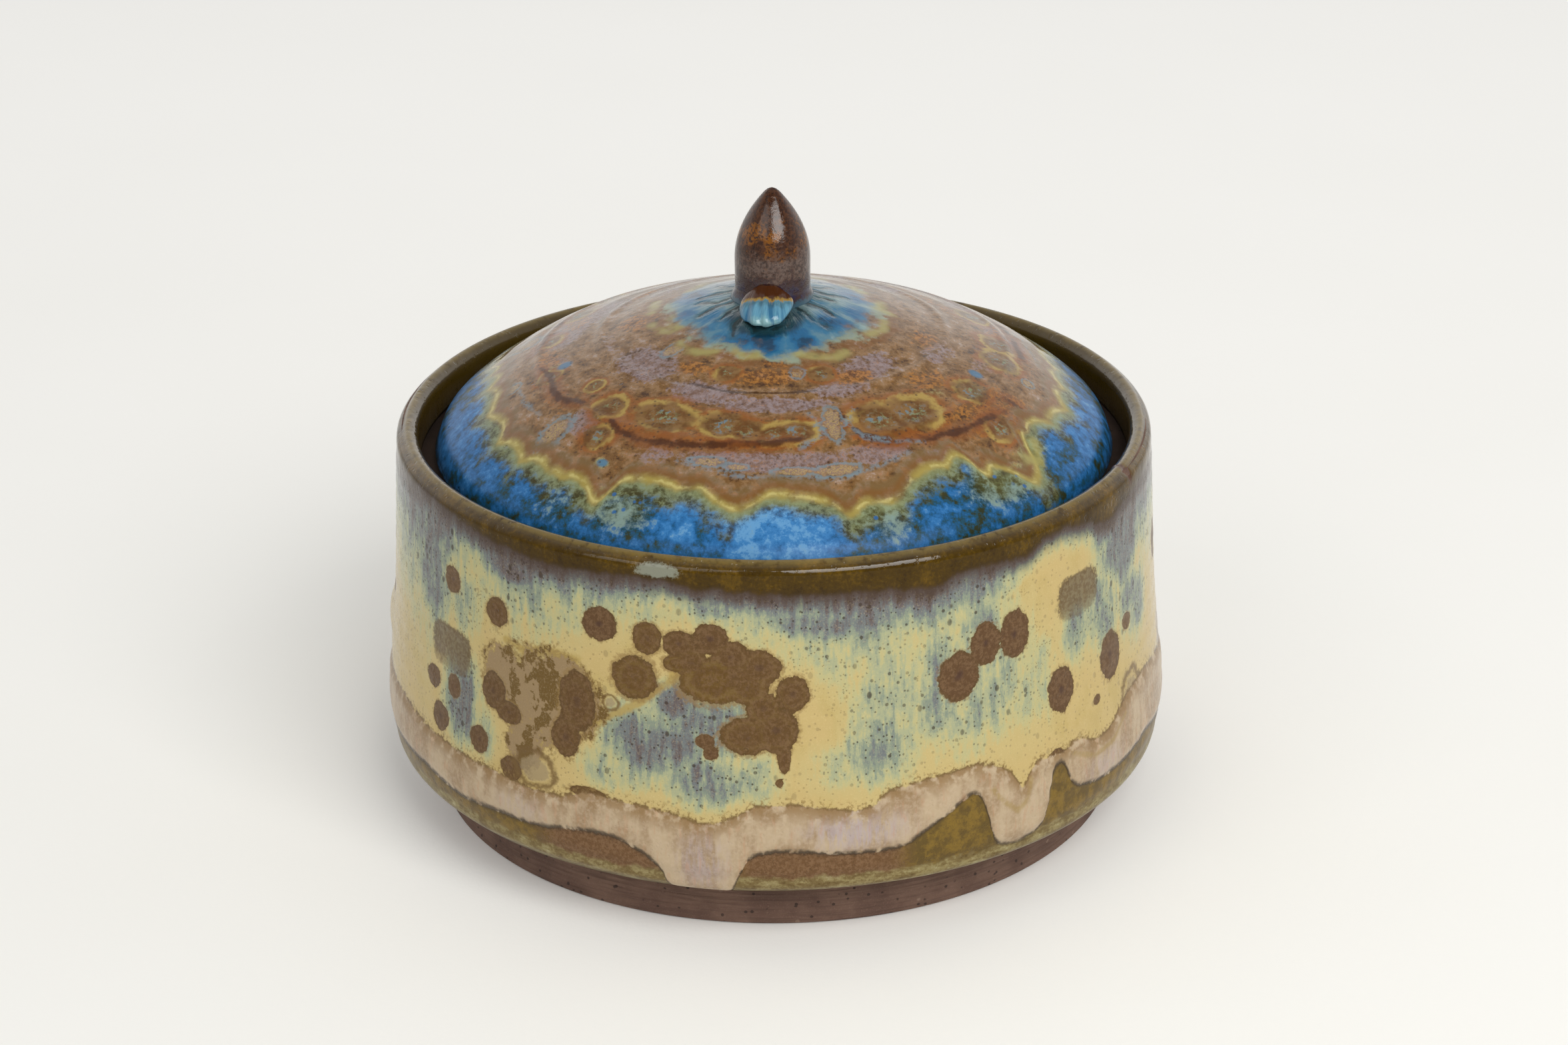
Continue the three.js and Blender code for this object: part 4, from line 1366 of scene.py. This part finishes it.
def floor():
    """A wide pale floor, with a little glow so that it meets the backdrop."""
    g = Glaze("pale_floor")
    colour = g.noise(60, detail=3).between("f7f7f4", "f4f4f0")
    seen = Value(g, g.node("ShaderNodeLightPath").outputs["Is Camera Ray"])
    backlit = 0.04 + g.y.ramp(-250, 500) * 0.22
    backlit += seen * g.y.ramp(-400, -1500) * 0.4
    material = g.finish(colour, 0.7, g.noise(0.8, detail=2) * 0.02, specular=0.2, glow=backlit)
    points = [(x * FLOOR_REACH, y * FLOOR_REACH, 0) for x, y in ((-1, -1), (1, -1), (1, 1), (-1, 1))]
    obj = mesh_object("floor", points, [(0, 1, 2, 3)])
    obj.data.materials.append(material)


def softbox(name, turn, rise, distance, size, power, tint):
    """An area light aimed at the bowl, from a turn and an elevation, in metres and watts."""
    data = bpy.data.lights.new(name, "AREA")
    data.shape = "RECTANGLE"
    data.size, data.size_y = size
    data.energy = power
    data.color = tint
    obj = bpy.data.objects.new(name, data)
    angle, lift = math.radians(turn), math.radians(rise)
    way = Vector((math.cos(angle) * math.cos(lift), math.sin(angle) * math.cos(lift), math.sin(lift)))
    aim = Vector((0, 0, 0.05))
    obj.location = aim + way * distance
    obj.rotation_mode = "QUATERNION"
    obj.rotation_quaternion = (-way).to_track_quat("-Z", "Y")
    bpy.context.scene.collection.objects.link(obj)


def room():
    """Light from all round, weaker overhead and on the camera's side, before a pale backdrop."""
    world = bpy.data.worlds.new("studio")
    world.use_nodes = True
    nodes, link = world.node_tree.nodes, world.node_tree.links.new
    way = nodes.new("ShaderNodeTexCoord")
    split = nodes.new("ShaderNodeSeparateXYZ")
    link(way.outputs["Generated"], split.inputs[0])
    shades = []
    for part, ends in ((2, (0.2, 0.8, HORIZON, OVERHEAD)), (1, (-0.5, 0.4, NEAR_SIDE, FAR_SIDE))):
        shade = nodes.new("ShaderNodeMapRange")
        shade.interpolation_type = "SMOOTHSTEP"
        for socket, value in zip(shade.inputs[1:5], ends):
            socket.default_value = value
        link(split.outputs[part], shade.inputs[0])
        shades.append(shade.outputs[0])
    both = nodes.new("ShaderNodeMath")
    both.operation = "MULTIPLY"
    link(shades[0], both.inputs[0])
    link(shades[1], both.inputs[1])
    ray = nodes.new("ShaderNodeLightPath")
    seen = nodes.new("ShaderNodeMix")
    link(ray.outputs["Is Camera Ray"], seen.inputs["Factor"])
    link(both.outputs[0], seen.inputs["A"])
    seen.inputs["B"].default_value = BACKDROP
    background = nodes["Background"]
    link(seen.outputs["Result"], background.inputs["Strength"])
    background.inputs["Color"].default_value = WARM_WHITE
    bpy.context.scene.world = world


def lights():
    """A wide key light and a soft fill."""
    softbox("key", -62, 41, 0.9, (0.6, 0.5), 5.4, (1.0, 0.985, 0.96))
    softbox("fill", -128, 40, 1.2, (0.8, 0.6), 2.2, (1.0, 0.99, 0.97))


def camera():
    """A long lens, looking down at the bowl from its front."""
    data = bpy.data.cameras.new("camera")
    data.lens = CAMERA_LENS
    data.sensor_width = 36
    data.clip_start, data.clip_end = 0.01, 50
    obj = bpy.data.objects.new("camera", data)
    lift = math.radians(CAMERA_RISE)
    back = Vector((0, -math.cos(lift), math.sin(lift)))
    obj.location = (Vector(CAMERA_AIM) + back * CAMERA_DISTANCE) * MM
    look = (-back).to_track_quat("-Z", "Y").to_matrix()
    roll = Matrix.Rotation(math.radians(CAMERA_ROLL), 3, "Z")
    obj.rotation_mode = "QUATERNION"
    obj.rotation_quaternion = (look @ roll).to_quaternion()
    bpy.context.scene.collection.objects.link(obj)
    bpy.context.scene.camera = obj


def main():
    """Every piece of the bowl, then the studio."""
    clay = bare_clay()
    bowl_coat()
    foot(clay)
    bowl_clay(clay)
    gallery(clay)
    bowl_liner()
    lid_coat()
    lid_clay(clay)
    locating_ring(clay)
    knob_coat()
    glaze_drop()
    hidden_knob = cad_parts["knob"]
    hidden_knob.data.materials.clear()
    hidden_knob.data.materials.append(clay)
    floor()
    room()
    lights()
    camera()
    bpy.context.scene.view_settings.view_transform = "Standard"


main()
